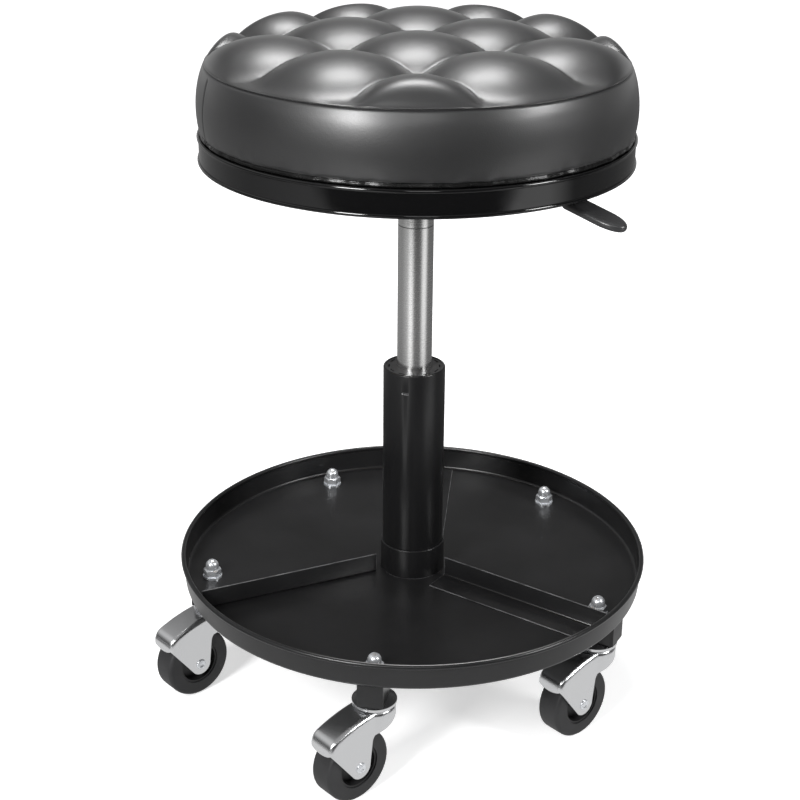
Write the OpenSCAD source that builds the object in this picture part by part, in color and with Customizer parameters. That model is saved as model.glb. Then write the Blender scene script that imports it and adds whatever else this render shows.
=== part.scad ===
// Rolling work seat: puffed round cushion on a gas lift, round tool tray with
// three dividers, five-legged frame and five hooded swivel casters.
// Millimetres, +Z up. The origin is on the column's axis at floor level.

/* [Casters] */
// Radius of the wheel
wheel_r = 29.5; // [22:0.1:40]
// Width of the tyre
wheel_w = 21.2; // [14:0.1:30]
// Radius of the tyre's rounded shoulder
shoulder_r = 3.2; // [1:0.1:6]
// Radius of the hub where the tyre sits
hub_r = 18; // [13:0.1:21]
// Thickness of the hub's rim
hub_rim = 1.8; // [1.2:0.1:3.5]
// Width of the hub's web
hub_web = 5; // [3:0.1:9]
// Radius of the hub's boss
hub_boss_r = 6; // [5:0.1:9]
// How far the hub's rim stands back from the tyre's face
hub_inset = 1; // [0.5:0.1:3]
// Trail: level distance from swivel axis to wheel axle
trail = 24.2; // [15:0.1:32]
// Radius of the axle
axle_r = 3; // [2:0.1:4]
// Radius of the axle's riveted heads
axle_head_r = 3.9; // [3.5:0.1:6]
// Thickness of the axle's riveted heads
axle_head_t = 1.1; // [0.6:0.1:2]
// Thickness of the fork's sheet
fork_t = 1.5; // [1:0.1:2.5]
// Side play between tyre and fork, each side
fork_play = 0.9; // [0.5:0.1:3]
// Side play between hub boss and fork, each side
boss_play = 0.3; // [0.2:0.1:1]
// Radius of the fork's rounded tip around the axle
fork_tip_r = 9.3; // [7:0.1:13]
// Radius of the fork's round crown
crown_r = 16.6; // [14:0.1:20]
// Free height between the wheel's top and the crown
crown_gap = 12.1; // [8:0.1:18]
// Radius of the hood's long upper curve
hood_r = 120; // [90:1:200]
// Radius of the hood's rounded rear end
visor_r = 11; // [7:0.1:15]
// How far the hood's rear end stands in from the wheel's rearmost point
hood_back = 0.5; // [0:0.1:3]
// How far the hood's rear corners lie below its rearmost line
lip_low = 0.4; // [0:0.1:3]
// How far the hood's lip hangs below its corners
lip_hang = 3.8; // [1:0.1:6]
// Radius of the folded edges of the fork
fold_r = 4; // [3:0.1:5]
// Height of the raceway between crown and leg
race_h = 5.7; // [5.2:0.1:12]
// Radius of the raceway cup
cup_r = 17.4; // [15:0.1:20]
// Gap between cup and crown
cup_gap = 0.9; // [0.4:0.1:2]
// Thickness of the cup's skirt
cup_t = 1.4; // [1:0.1:2]
// Radius of the balls
ball_r = 1.8; // [1.2:0.1:1.9]
// Radius of the circle of balls
ball_circle = 10.5; // [8:0.1:13]
// Number of balls in a raceway
ball_n = 8; // [6:1:12]
// Direction in which all five casters trail
caster_az = 222; // [0:1:359]

/* [Base frame] */
// Distance of the caster studs from the tray's edge
stud_in = 25.2; // [20:0.1:40]
// Direction of the first stud
stud_az = -27.4; // [-72:0.1:72]
// Radius of the studs
stud_r = 4; // [3:0.1:6]
// Width of the legs' square tube
leg_w = 20; // [16:0.5:30]
// Wall of the legs' tube
leg_t = 1.5; // [1:0.1:3]
// How far a leg reaches past its stud, with its cap
leg_past = 18.3; // [14:0.1:26]
// Thickness of the legs' end caps
cap_t = 3; // [2:0.1:5]
// Depth of the end caps' plugs
plug_d = 7; // [3:0.1:8]
// Wall of the hub sleeve below the tray
sleeve_t = 3.5; // [2:0.1:6]

/* [Tray] */
// Radius over the rolled rim
tray_r = 193.5; // [150:0.5:240]
// Depth over the rim
tray_depth = 22.8; // [15:0.1:40]
// Thickness of the tray's sheet
tray_t = 1.2; // [0.8:0.1:2]
// Thickness of the rolled rim
hem_d = 4; // [3:0.1:8]
// How far the wall stands in at the floor
wall_inset = 1.8; // [0:0.1:6]
// Outer radius between wall and floor
tray_corner = 3.5; // [2:0.1:10]
// Height of the dividers
divider_h = 17.1; // [8:0.1:20]
// Width of the dividers' flanges
divider_flange = 22.9; // [10:0.1:40]
// Thickness of the dividers' sheet
divider_t = 1; // [0.8:0.1:2]
// Inner radius of the dividers' bend
divider_bend = 1.5; // [0.5:0.1:4]
// Direction of the first divider
divider_az = -34.6; // [-60:0.1:60]
// Gap between divider and collar
divider_in = 6.5; // [2:0.1:20]
// Gap between divider and tray wall
divider_out = 3; // [2.5:0.1:10]
// Width across flats of the cap nuts
nut_af = 13; // [10:0.1:17]
// Height of the hexagon of the cap nuts
nut_hex_h = 6.5; // [4:0.1:9]
// Radius of the domes of the cap nuts
nut_dome_r = 5.5; // [4:0.1:7]
// Height of the cap nuts
nut_h = 14; // [10:0.1:18]
// Radius of the washers below the nuts
washer_r = 8; // [7:0.1:12]
// Thickness of the washers
washer_t = 1.6; // [1:0.1:3]

/* [Column] */
// Radius of the outer tube
tube_r = 25; // [20:0.1:30]
// Wall of the outer tube
tube_t = 1.5; // [1.2:0.1:3]
// Height of the outer tube's top above the tray's floor
tube_rise = 182.1; // [120:0.1:220]
// How far the outer tube reaches below the legs
tube_drop = 4.3; // [0:0.1:10]
// Radius of the rounded edge at the tube's top
tube_edge = 1.2; // [0.5:0.1:1.4]
// Thickness of the tube's pressed base
tube_base_t = 3; // [2:0.1:5]
// Height of the collar on the tray
collar_h = 25.7; // [10:0.1:40]
// Wall of the collar
collar_t = 1.4; // [1:0.1:3]
// Length of the guide bush
bush_h = 64; // [40:1:80]
// Radius of the ring of slots in the bush
slot_ring_r = 20.4; // [18:0.1:22]
// Width of the slots
slot_w = 1.3; // [0.8:0.1:2]
// Depth of the slots
slot_d = 6; // [2:0.1:20]
// Number of slots
slot_n = 12; // [6:1:16]
// Share of the ring that the slots take (share)
slot_share = 0.55; // [0.3:0.05:0.7]
// Distance of the latch window below the tube's top
latch_down = 15.4; // [10:0.1:30]
// Width of the latch window
latch_w = 4.4; // [2:0.1:8]
// Height of the latch window
latch_h = 1.2; // [0.8:0.1:3]
// Direction of the latch window
latch_az = -106; // [-180:1:180]
// Radius of the gas cylinder
cyl_r = 14; // [12:0.1:16]
// Wall of the gas cylinder
cyl_t = 1.7; // [1.2:0.1:3]
// How far the cylinder stands out of the tube before its taper
cyl_out = 118.2; // [80:0.1:140]
// Length of the straight part of the cylinder
cyl_len = 199.8; // [160:0.1:230]
// Length of the cylinder's taper
taper_len = 40; // [25:0.1:60]
// How much the taper's radius shrinks
taper_in = 1.2; // [0.5:0.1:2]
// Length of the valve block in the taper
valve_len = 46; // [30:0.1:60]
// Radius of the valve pin
pin_r = 3; // [2:0.1:4]
// How far the valve pin stands out
pin_out = 3.8; // [3:0.1:6]
// Radius of the piston rod
rod_r = 5; // [4:0.1:6]
// Radius of the rod's stepped end
rod_end_r = 4; // [3:0.1:4.5]
// Length of the rod's end below the base
rod_tail = 6; // [4:0.1:10]
// Length of the rod gland
gland_h = 16; // [10:0.1:25]
// Distance from the gland's top to the piston
piston_up = 22; // [16:0.1:60]
// Length of the piston
piston_h = 14; // [8:0.1:20]
// Radius of the thrust washers
thrust_r = 11; // [9:0.1:14]
// Thickness of the thrust washers
thrust_t = 1.5; // [1:0.1:3]
// Height of the bump stop
bump_h = 10; // [5:0.1:20]
// Thickness of the rod's clip
clip_t = 1.2; // [0.8:0.1:2]
// Radius of the rod's clip
clip_r = 8; // [6:0.1:10]

/* [Seat] */
// Height of the ring's lower edge above the cylinder's taper start
ring_up = 53.6; // [45:0.1:70]
// Radius of the ring's band
ring_r = 164.8; // [140:0.1:190]
// Height of the ring
ring_h = 20.7; // [15:0.1:35]
// Thickness of the ring's sheet
ring_t = 1.2; // [0.8:0.1:2]
// Radius of the ring's rolled beads
bead_r = 1.6; // [1:0.1:3]
// Width of the ring's lower lip
lip_w = 8; // [4:0.1:15]
// Thickness of the seat board
board_t = 12; // [9:0.1:18]
// Gap between board and ring
board_gap = 1; // [0.3:0.1:3]
// Thickness of the firm foam
firm_t = 12; // [6:0.1:18]
// How much smaller than the ring the firm foam is
firm_in = 14.8; // [8:0.1:40]
// Height of the sewn edge above the ring's top
seam_up = 52; // [35:0.1:70]
// How far the sewn edge stands in from the ring
seam_in = 5.3; // [2:0.1:15]
// Depth of the sewn edge's groove
seam_groove = 1; // [0.5:0.1:2]
// How far the cushion swells out past the ring
swell_out = 0.6; // [0:0.1:6]
// How far the cushion's foot stands in from the ring
foot_in = 3.3; // [2.5:0.1:8]
// How far the cushion stands in just above the ring
brim_in = 1.6; // [0.5:0.1:6]
// Height of the top puff above the sewn edge
crown_h = 26.5; // [15:0.1:45]
// How much lower the puffs at the edge are
crown_fall = 10; // [3:0.1:15]
// How much lower still the front edge's puffs are, the back's as much higher
puff_lean = 3; // [0:0.5:6]
// Distance between puffs in a row
puff_pitch = 106; // [80:1:140]
// Radius of a puff's face
puff_face_r = 92; // [70:1:130]
// Radius of the face of the small puffs along the edge
edge_face_r = 62; // [55:1:92]
// Share of the sewn edge's radius from which on the puffs are small (share)
edge_share = 0.76; // [0.7:0.01:0.8]
// How far outside the sewn edge the middle of a puff may lie
puff_over = 4; // [2:0.5:12]
// Rise of the plain cover that shows between the puffs and the sewn edge
bed_rise = 7; // [3:0.5:12]
// Radius of the cushion's rounded top edge
top_edge_r = 54; // [30:1:80]
// Sideways place of the pattern's middle
puff_x = 0; // [-20:1:20]

/* [Lever and seat plate] */
// Direction of the lever
lever_az = -40; // [-90:1:90]
// Length of the lever's bar, out from the column's axis
bar_out = 141; // [110:1:160]
// How far the bar reaches past the column's axis
bar_in = 8; // [5:0.1:12]
// Width of the bar
bar_w = 12; // [8:0.1:20]
// Thickness of the bar
bar_t = 4; // [3:0.1:6]
// Distance from the column's axis to the lever's pivot
pivot_out = 34; // [20:0.1:50]
// Radius of the lever's pivot pin
pivot_r = 2.5; // [2:0.1:4]
// Radius of the lever's eye
eye_r = 4.8; // [4:0.1:7]
// Gap between valve pin and lever
pin_gap = 0.3; // [0.2:0.1:1]
// Angle by which the grip points down
grip_angle = 12.7; // [0:0.1:20]
// Length of the bar inside the grip
grip_core = 34; // [20:0.1:45]
// Thickness of the bar inside the grip
core_t = 3; // [2:0.1:4]
// Distance from the bar's bend to the grip
grip_start = 1; // [0.8:0.1:5]
// Length of the grip
grip_len = 49.8; // [42:0.1:80]
// Width of the grip
grip_w = 21; // [14:0.1:30]
// Thickness of the grip
grip_t = 6; // [5:0.1:10]
// Length of the seat plate
plate_l = 150; // [110:1:200]
// Width of the seat plate
plate_w = 110; // [90:1:150]
// Thickness of the seat plate
plate_t = 2.5; // [2:0.1:4]
// Corner radius of the seat plate
plate_corner = 12; // [5:0.5:30]
// Width over the channel's cheeks
channel_w = 50; // [40:0.5:70]
// Depth of the channel
channel_d = 18; // [16:0.1:30]
// Wall of the socket
socket_t = 3; // [2:0.1:5]
// Length of the socket
socket_len = 27; // [15:0.1:40]
// Distance between the plate's bolts along the lever
bolt_l = 120; // [80:1:170]
// Distance between the plate's bolts across the lever
bolt_s = 84; // [70:1:130]
// Radius of the plate's bolts
bolt_r = 3; // [2.5:0.1:5]
// Width across flats of the bolt heads
bolt_af = 10; // [8:0.1:15]
// Height of the bolt heads
bolt_head_h = 4; // [3:0.1:7]
// Radius of the tee nuts' flanges
tee_r = 9; // [7:0.1:12]
// Thickness of the tee nuts' flanges
tee_t = 1.4; // [1:0.1:2]
// Radius of the tee nuts' barrels
tee_barrel_r = 4.2; // [4:0.1:7]

/* [Fits] */
// Running gap between a shaft and its hole
run_gap = 0.06; // [0.03:0.01:0.1]
// Gap between pieces that are assembled
fit_gap = 0.1; // [0.05:0.01:0.3]
// Gap between the balls and the piece that turns on them
ball_gap = 0.3; // [0.2:0.05:0.5]

/* [Hidden] */
$fn = 72;
// An overlap that lets cuts pass right through
cut = 1;
leg_n = 5;
divider_n = 3;

axle_z = wheel_r;
crown_z = axle_z + wheel_r + crown_gap + fork_t;
leg_z0 = crown_z + race_h;
tray_z0 = leg_z0 + leg_w;
floor_z = tray_z0 + tray_t;
rim_z = tray_z0 + tray_depth;
stud_circle = tray_r - stud_in;
leg_end = stud_circle + leg_past;
sleeve_r = tube_r + fit_gap + sleeve_t;

tube_z0 = leg_z0 - tube_drop;
tube_z1 = floor_z + tube_rise;
bore_r = tube_r - tube_t;
base_top = tube_z0 + tube_base_t;
thrust_h = 2 * thrust_t + 2 * ball_r;
thrust_top = base_top + thrust_h;
bump_top = thrust_top + bump_h;
taper_z = tube_z1 + cyl_out;
cyl_z0 = taper_z - cyl_len;
taper_top = taper_z + taper_len;
gland_top = cyl_z0 + gland_h;
piston_z = gland_top + piston_up;
cyl_bore = cyl_r - cyl_t;
valve_z = taper_top - valve_len;
pin_top = taper_top + pin_out;

bar_z0 = pin_top + pin_gap;
bar_z = bar_z0 + bar_t / 2;
ring_z0 = taper_z + ring_up;
ring_z1 = ring_z0 + ring_h;
board_z = ring_z0 + ring_t;
board_top = board_z + board_t;
board_r = ring_r - ring_t - board_gap;
plate_z = board_z - plate_t;
web_z = plate_z - channel_d;
firm_r = ring_r - firm_in;
seam_r = ring_r - seam_in;
cushion_r = ring_r + swell_out;
foot_r = ring_r - foot_in;
brim_r = ring_r - brim_in;
seam_z = ring_z1 + seam_up;
puff_top = seam_z + crown_h;

fork_w = wheel_w + 2 * fork_play + 2 * fork_t;
fork_in = fork_w - 2 * fork_t;
// The hood's two curves meet without a crease, so their middles lie on one line
hood_z = crown_z - hood_r;
lip_x = trail + wheel_r - hood_back;
visor_x = lip_x - visor_r;
visor_z = hood_z + sqrt((hood_r - visor_r) * (hood_r - visor_r) - visor_x * visor_x);
lip_z = visor_z - lip_low;

// The direction of leg or caster number i
function leg_az(i) = stud_az + i * 360 / leg_n;
// A unit vector
function unit(v) = v / norm(v);

// Places its children on the stud of leg number i
module on_stud(i) {
  rotate([0, 0, leg_az(i)])
    translate([stud_circle, 0, 0])
      rotate([0, 0, -leg_az(i)])
        children();
}

// Places its children in the frame of caster number i, X along its trail
module on_caster(i) {
  on_stud(i)
    rotate([0, 0, caster_az])
      children();
}

// Places its children in the lever's frame, X out along the lever
module on_lever() {
  rotate([0, 0, lever_az])
    children();
}

// A ring between two radii
module ring(ro, ri, z0, z1) {
  translate([0, 0, z0])
    difference() {
      cylinder(r = ro, h = z1 - z0);
      translate([0, 0, -cut])
        cylinder(r = ri, h = z1 - z0 + 2 * cut);
    }
}

// The tray's cross-section from the column's hole to the rolled rim
module tray_section() {
  wall_r = tray_r - hem_d / 2;
  foot = wall_r - wall_inset + tray_t / 2;
  c = [foot - tray_corner, tray_z0 + tray_corner];
  translate([tube_r + fit_gap, tray_z0])
    square([c[0] - tube_r - fit_gap, tray_t]);
  intersection() {
    difference() {
      translate(c)
        circle(r = tray_corner);
      translate(c)
        circle(r = tray_corner - tray_t);
    }
    translate([c[0], tray_z0])
      square([tray_corner, tray_corner]);
  }
  polygon([[foot - tray_t, c[1]], [foot, c[1]],
           [wall_r + tray_t / 2, rim_z - hem_d / 2], [wall_r - tray_t / 2, rim_z - hem_d / 2]]);
  translate([wall_r, rim_z - hem_d / 2])
    circle(r = hem_d / 2);
}

module tray_pan() {
  color([0.07, 0.07, 0.075])
    difference() {
      rotate_extrude($fn = 180)
        tray_section();
      for (i = [0 : leg_n - 1])
        on_stud(i)
          translate([0, 0, tray_z0 - cut])
            cylinder(r = stud_r + fit_gap, h = tray_t + 2 * cut);
    }
}

// A bent strip from near the collar to near the tray's wall
module divider(i) {
  bend_y = -divider_t / 2 - divider_bend;
  bend_z = divider_t + divider_bend;
  r0 = tube_r + fit_gap + collar_t + divider_in;
  r1 = tray_r - hem_d / 2 - wall_inset - tray_t / 2 - divider_out;
  side = sqrt(r1 * r1 - divider_flange * divider_flange);
  color([0.07, 0.07, 0.075])
    rotate([0, 0, divider_az + i * 360 / divider_n])
      translate([0, 0, floor_z])
        intersection() {
          translate([r0, 0, 0])
            rotate([90, 0, 90])
              linear_extrude(r1 - r0)
                union() {
                  translate([-divider_t / 2, bend_z])
                    square([divider_t, divider_h - bend_z]);
                  translate([-divider_flange, 0])
                    square([divider_flange + bend_y, divider_t]);
                  intersection() {
                    difference() {
                      translate([bend_y, bend_z])
                        circle(r = divider_t + divider_bend);
                      translate([bend_y, bend_z])
                        circle(r = divider_bend);
                    }
                    translate([bend_y, 0])
                      square([bend_z, bend_z]);
                  }
                }
          linear_extrude(divider_h)
            polygon([[r0, divider_t], [r0, -divider_flange], [side, -divider_flange],
                     [r1, -divider_t / 2], [r1, divider_t]]);
        }
}

module divider_right() {
  divider(0);
}

module divider_rear() {
  divider(1);
}

module divider_left() {
  divider(2);
}

module column_collar() {
  color([0.06, 0.06, 0.065])
    rotate_extrude()
      union() {
        translate([tube_r + fit_gap, floor_z])
          square([collar_t, collar_h - collar_t / 2]);
        translate([tube_r + fit_gap, floor_z])
          square([collar_t / 2, collar_h]);
        intersection() {
          translate([tube_r + fit_gap + collar_t / 2, floor_z + collar_h - collar_t / 2])
            circle(r = collar_t / 2);
          translate([tube_r + fit_gap + collar_t / 4, floor_z])
            square([collar_t, collar_h]);
        }
      }
}

module hub_sleeve() {
  color([0.07, 0.07, 0.075])
    ring(sleeve_r, tube_r + fit_gap, leg_z0, tray_z0);
}

// Square tubes from the hub sleeve outwards, open at the ends
module frame_legs() {
  tube_end = leg_end - cap_t;
  color([0.07, 0.07, 0.075])
    for (i = [0 : leg_n - 1])
      difference() {
        rotate([0, 0, leg_az(i)])
          translate([0, -leg_w / 2, leg_z0])
            cube([tube_end, leg_w, leg_w]);
        rotate([0, 0, leg_az(i)])
          translate([0, leg_t - leg_w / 2, leg_z0 + leg_t])
            cube([tube_end + cut, leg_w - 2 * leg_t, leg_w - 2 * leg_t]);
        translate([0, 0, leg_z0 - cut])
          cylinder(r = sleeve_r, h = leg_w + 2 * cut);
        on_stud(i)
          translate([0, 0, leg_z0 - cut])
            cylinder(r = stud_r + fit_gap, h = leg_w + 2 * cut);
      }
}

// Plastic plugs in the legs' outer ends
module leg_caps() {
  tube_end = leg_end - cap_t;
  plug_w = leg_w - 2 * leg_t - 2 * fit_gap;
  color([0.04, 0.04, 0.04])
    for (i = [0 : leg_n - 1])
      rotate([0, 0, leg_az(i)]) {
        translate([tube_end, -leg_w / 2, leg_z0])
          cube([cap_t, leg_w, leg_w]);
        translate([tube_end - plug_d, -plug_w / 2, leg_z0 + leg_w / 2 - plug_w / 2])
          cube([plug_d, plug_w, plug_w]);
      }
}

// The black outer tube with a rounded top edge and a latch window
module outer_tube() {
  color([0.05, 0.05, 0.055])
    difference() {
      rotate_extrude()
        union() {
          translate([bore_r, tube_z0])
            square([tube_t, tube_z1 - tube_z0 - tube_edge]);
          translate([bore_r, tube_z0])
            square([tube_t - tube_edge, tube_z1 - tube_z0]);
          intersection() {
            translate([tube_r - tube_edge, tube_z1 - tube_edge])
              circle(r = tube_edge);
            translate([bore_r, tube_z0])
              square([tube_t, tube_z1 - tube_z0]);
          }
        }
      rotate([0, 0, latch_az])
        translate([0, -latch_w / 2, tube_z1 - latch_down - latch_h / 2])
          cube([tube_r + cut, latch_w, latch_h]);
    }
}

module tube_base() {
  color([0.05, 0.05, 0.055])
    ring(bore_r - fit_gap, rod_end_r + run_gap, tube_z0, base_top);
}

// The plastic bush that guides the cylinder, slotted from above
module guide_bush() {
  step = 360 / slot_n;
  color([0.05, 0.05, 0.05])
    difference() {
      union() {
        ring(bore_r - fit_gap, cyl_r + run_gap, tube_z1 - bush_h, tube_z1 - tube_edge / 2);
        rotate([0, 0, latch_az])
          intersection() {
            ring(tube_r - fit_gap, cyl_r + run_gap, tube_z1 - bush_h, tube_z1);
            translate([cyl_r + tube_t, fit_gap - latch_w / 2,
                       tube_z1 - latch_down - latch_h / 2 + fit_gap])
              cube([tube_r, latch_w - 2 * fit_gap, latch_h - 2 * fit_gap]);
          }
      }
      for (i = [0 : slot_n - 1])
        rotate([0, 0, i * step])
          intersection() {
            ring(slot_ring_r + slot_w / 2, slot_ring_r - slot_w / 2,
                 tube_z1 - slot_d, tube_z1 + cut);
            translate([0, 0, tube_z1 - slot_d])
              linear_extrude(slot_d + cut)
                polygon([[0, 0],
                         [tube_r * cos(step * slot_share / 2), -tube_r * sin(step * slot_share / 2)],
                         [tube_r * cos(step * slot_share / 2), tube_r * sin(step * slot_share / 2)]]);
          }
    }
}

module thrust_bearing() {
  mid = (thrust_r + rod_end_r) / 2;
  color([0.6, 0.6, 0.6]) {
    ring(thrust_r, rod_end_r + run_gap, base_top, base_top + thrust_t);
    ring(thrust_r, rod_end_r + run_gap, thrust_top - thrust_t, thrust_top);
    for (i = [0 : ball_n - 1])
      rotate([0, 0, i * 360 / ball_n])
        translate([mid, 0, base_top + thrust_t + ball_r])
          sphere(r = ball_r);
  }
}

module bump_stop() {
  color([0.05, 0.05, 0.05])
    ring(thrust_r, rod_r + ball_gap, thrust_top, bump_top);
}

// Studs from the rivet under each crown up to the cap nuts
module caster_studs() {
  head_r = ball_circle - 2 * ball_r;
  head_z = crown_z - fork_t - ball_gap;
  color([0.7, 0.7, 0.7])
    for (i = [0 : leg_n - 1])
      on_stud(i) {
        translate([0, 0, head_z - fork_t])
          cylinder(r = stud_r, h = floor_z + washer_t + nut_hex_h + nut_dome_r / 2 - head_z + fork_t);
        translate([0, 0, head_z - fork_t])
          cylinder(r = head_r, h = fork_t);
      }
}

// Raceway cups between the legs and the forks' crowns
module caster_cups() {
  race_z = crown_z + ball_gap + 2 * ball_r + fit_gap;
  color([0.85, 0.85, 0.87])
    for (i = [0 : leg_n - 1])
      on_stud(i)
        rotate_extrude()
          polygon([[stud_r + fit_gap, race_z], [ball_circle + ball_r, race_z],
                   [cup_r - cup_t, race_z - ball_r],
                   [cup_r - cup_t, crown_z + cup_gap], [cup_r, crown_z + cup_gap],
                   [cup_r, race_z - ball_r / 2], [cup_r - 2 * cup_t, leg_z0 - cup_t],
                   [leg_w / 2, leg_z0], [stud_r + fit_gap, leg_z0]]);
}

module caster_balls() {
  color([0.8, 0.8, 0.8])
    for (i = [0 : leg_n - 1])
      on_stud(i)
        for (k = [0 : ball_n - 1])
          rotate([0, 0, k * 360 / ball_n])
            translate([ball_circle, 0, crown_z + ball_gap + ball_r])
              sphere(r = ball_r, $fn = 24);
}

// Domed nuts on the tray's floor, one per stud
module cap_nuts() {
  z0 = floor_z + washer_t;
  color([0.8, 0.8, 0.82])
    for (i = [0 : leg_n - 1])
      on_stud(i)
        difference() {
          union() {
            intersection() {
              translate([0, 0, z0])
                cylinder(r = nut_af / 2 / cos(30), h = nut_hex_h, $fn = 6);
              translate([0, 0, z0 + nut_hex_h - nut_af])
                sphere(r = nut_af * 1.06);
            }
            translate([0, 0, z0])
              cylinder(r = nut_dome_r, h = nut_h - nut_dome_r);
            translate([0, 0, z0 + nut_h - nut_dome_r])
              sphere(r = nut_dome_r);
          }
          translate([0, 0, z0 - cut])
            cylinder(r = stud_r + fit_gap / 2, h = cut + nut_h - nut_dome_r / 2);
          translate([0, 0, z0 - nut_af])
            cylinder(r = nut_af, h = nut_af);
        }
}

module nut_washers() {
  color([0.8, 0.8, 0.82])
    for (i = [0 : leg_n - 1])
      on_stud(i)
        ring(washer_r, stud_r + fit_gap, floor_z, floor_z + washer_t);
}

// The rod stands on the thrust bearing and ends in the base
module piston_rod() {
  groove_z = tube_z0 - run_gap - clip_t;
  color([0.8, 0.8, 0.82])
    difference() {
      union() {
        translate([0, 0, thrust_top + run_gap])
          cylinder(r = rod_r, h = piston_z - thrust_top - run_gap);
        translate([0, 0, tube_z0 - rod_tail])
          cylinder(r = rod_end_r, h = piston_z + piston_h - tube_z0 + rod_tail);
      }
      ring(rod_r + cut, rod_end_r - clip_t / 2, groove_z, groove_z + clip_t);
    }
}

module piston() {
  color([0.3, 0.3, 0.3])
    ring(cyl_bore - run_gap, rod_end_r, piston_z, piston_z + piston_h);
}

// A spring clip, open on one side, in the rod's groove
module rod_clip() {
  groove_z = tube_z0 - run_gap - clip_t;
  color([0.3, 0.3, 0.3])
    difference() {
      ring(clip_r, rod_end_r - clip_t / 2, groove_z, groove_z + clip_t);
      translate([0, -rod_end_r / 2, groove_z - cut])
        cube([clip_r + cut, rod_end_r, clip_t + 2 * cut]);
    }
}

// Straight body, taper at the top, valve block with a hole for the pin
module gas_cylinder() {
  color([0.75, 0.75, 0.77])
    rotate_extrude()
      polygon([[cyl_bore, cyl_z0], [cyl_r, cyl_z0], [cyl_r, taper_z],
               [cyl_r - taper_in, taper_top], [pin_r + run_gap, taper_top],
               [pin_r + run_gap, valve_z], [cyl_bore, valve_z]]);
}

module rod_gland() {
  color([0.3, 0.3, 0.3])
    ring(cyl_bore - fit_gap / 2, rod_r + run_gap, cyl_z0, gland_top);
}

module valve_pin() {
  color([0.85, 0.85, 0.87])
    translate([0, 0, valve_z + pin_out])
      cylinder(r = pin_r, h = pin_top - valve_z - pin_out);
}

// The socket that holds the cylinder's taper
module seat_socket() {
  z1 = web_z + plate_t;
  z0 = z1 - socket_len;
  k = taper_in / taper_len;
  g = fit_gap / 2;
  color([0.05, 0.05, 0.055])
    rotate_extrude()
      polygon([[cyl_r - k * (z0 - taper_z) + g, z0], [cyl_r + socket_t, z0],
               [cyl_r + socket_t, z1], [cyl_r - k * (z1 - taper_z) + g, z1]]);
}

// A flat plate with a channel below it, bored for socket and pivot
module seat_plate() {
  hole_r = cyl_r + socket_t + fit_gap / 2;
  e = plate_l / 2 - plate_corner;
  f = plate_w / 2 - plate_corner;
  color([0.05, 0.05, 0.055])
    on_lever()
      difference() {
        union() {
          translate([-plate_l / 2, -f, plate_z])
            cube([plate_l, 2 * f, plate_t]);
          translate([-e, -plate_w / 2, plate_z])
            cube([2 * e, plate_w, plate_t]);
          for (x = [-e, e])
            for (y = [-f, f])
              translate([x, y, plate_z])
                cylinder(r = plate_corner, h = plate_t);
          translate([-channel_w / 2, -channel_w / 2, web_z])
            cube([channel_w / 2 + pivot_out + eye_r + plate_t, channel_w, channel_d]);
        }
        translate([-channel_w, plate_t - channel_w / 2, web_z + plate_t])
          cube([2 * plate_l, channel_w - 2 * plate_t, channel_d - plate_t]);
        translate([0, 0, web_z - cut])
          cylinder(r = hole_r, h = plate_t + 2 * cut);
        translate([pivot_out, channel_w, bar_z])
          rotate([90, 0, 0])
            cylinder(r = pivot_r + fit_gap / 2, h = 2 * channel_w);
        for (x = [-bolt_l / 2, bolt_l / 2])
          for (y = [-bolt_s / 2, bolt_s / 2])
            translate([x, y, plate_z - cut])
              cylinder(r = bolt_r + fit_gap, h = plate_t + 2 * cut);
      }
}

module lever_pin() {
  len = channel_w + 2 * bar_t / 2;
  color([0.7, 0.7, 0.7])
    on_lever()
      translate([pivot_out, len / 2, bar_z])
        rotate([90, 0, 0])
          cylinder(r = pivot_r, h = len);
}

// A flat bar with an eye at the pivot and a bent-down end for the grip
module lever_bar() {
  eye_w = channel_w - 2 * plate_t - 2 * ball_gap;
  color([0.3, 0.3, 0.3])
    on_lever()
      difference() {
        union() {
          translate([0, bar_w / 2, 0])
            rotate([90, 0, 0])
              linear_extrude(bar_w)
                union() {
                  translate([-bar_in, bar_z0])
                    square([bar_in + bar_out, bar_t]);
                  translate([bar_out, bar_z])
                    rotate(-grip_angle)
                      translate([-core_t / 2, -core_t / 2])
                        square([grip_core, core_t]);
                }
          translate([pivot_out, eye_w / 2, bar_z])
            rotate([90, 0, 0])
              cylinder(r = eye_r, h = eye_w);
        }
        translate([pivot_out, channel_w, bar_z])
          rotate([90, 0, 0])
            cylinder(r = pivot_r + run_gap, h = 2 * channel_w);
      }
}

// The flat outline of the grip, round at its outer end
module grip_outline(inset) {
  r = grip_w / 2 - inset;
  x1 = grip_start + grip_len - grip_w / 2;
  translate([grip_start + inset, -r])
    square([x1 - grip_start - inset, 2 * r]);
  translate([x1, 0])
    circle(r = r);
}

// The black paddle on the lever's end
module lever_grip() {
  step = grip_t / 6;
  color([0.04, 0.04, 0.04])
    on_lever()
      translate([bar_out, 0, bar_z])
        rotate([0, grip_angle, 0])
          difference() {
            union() {
              translate([0, 0, -grip_t / 2 + step])
                linear_extrude(grip_t - 2 * step)
                  grip_outline(0);
              translate([0, 0, -grip_t / 2])
                linear_extrude(grip_t)
                  grip_outline(step);
            }
            translate([-grip_len, -bar_w / 2 - fit_gap / 2, -core_t / 2 - fit_gap / 2])
              cube([grip_len + grip_core - core_t / 2 + fit_gap, bar_w + fit_gap, core_t + fit_gap]);
          }
}

module seat_board() {
  color([0.75, 0.6, 0.42])
    difference() {
      translate([0, 0, board_z])
        cylinder(r = board_r, h = board_t, $fn = 180);
      on_lever()
        for (x = [-bolt_l / 2, bolt_l / 2])
          for (y = [-bolt_s / 2, bolt_s / 2])
            translate([x, y, board_z - cut])
              cylinder(r = tee_barrel_r + fit_gap / 2, h = board_t + 2 * cut);
    }
}

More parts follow.
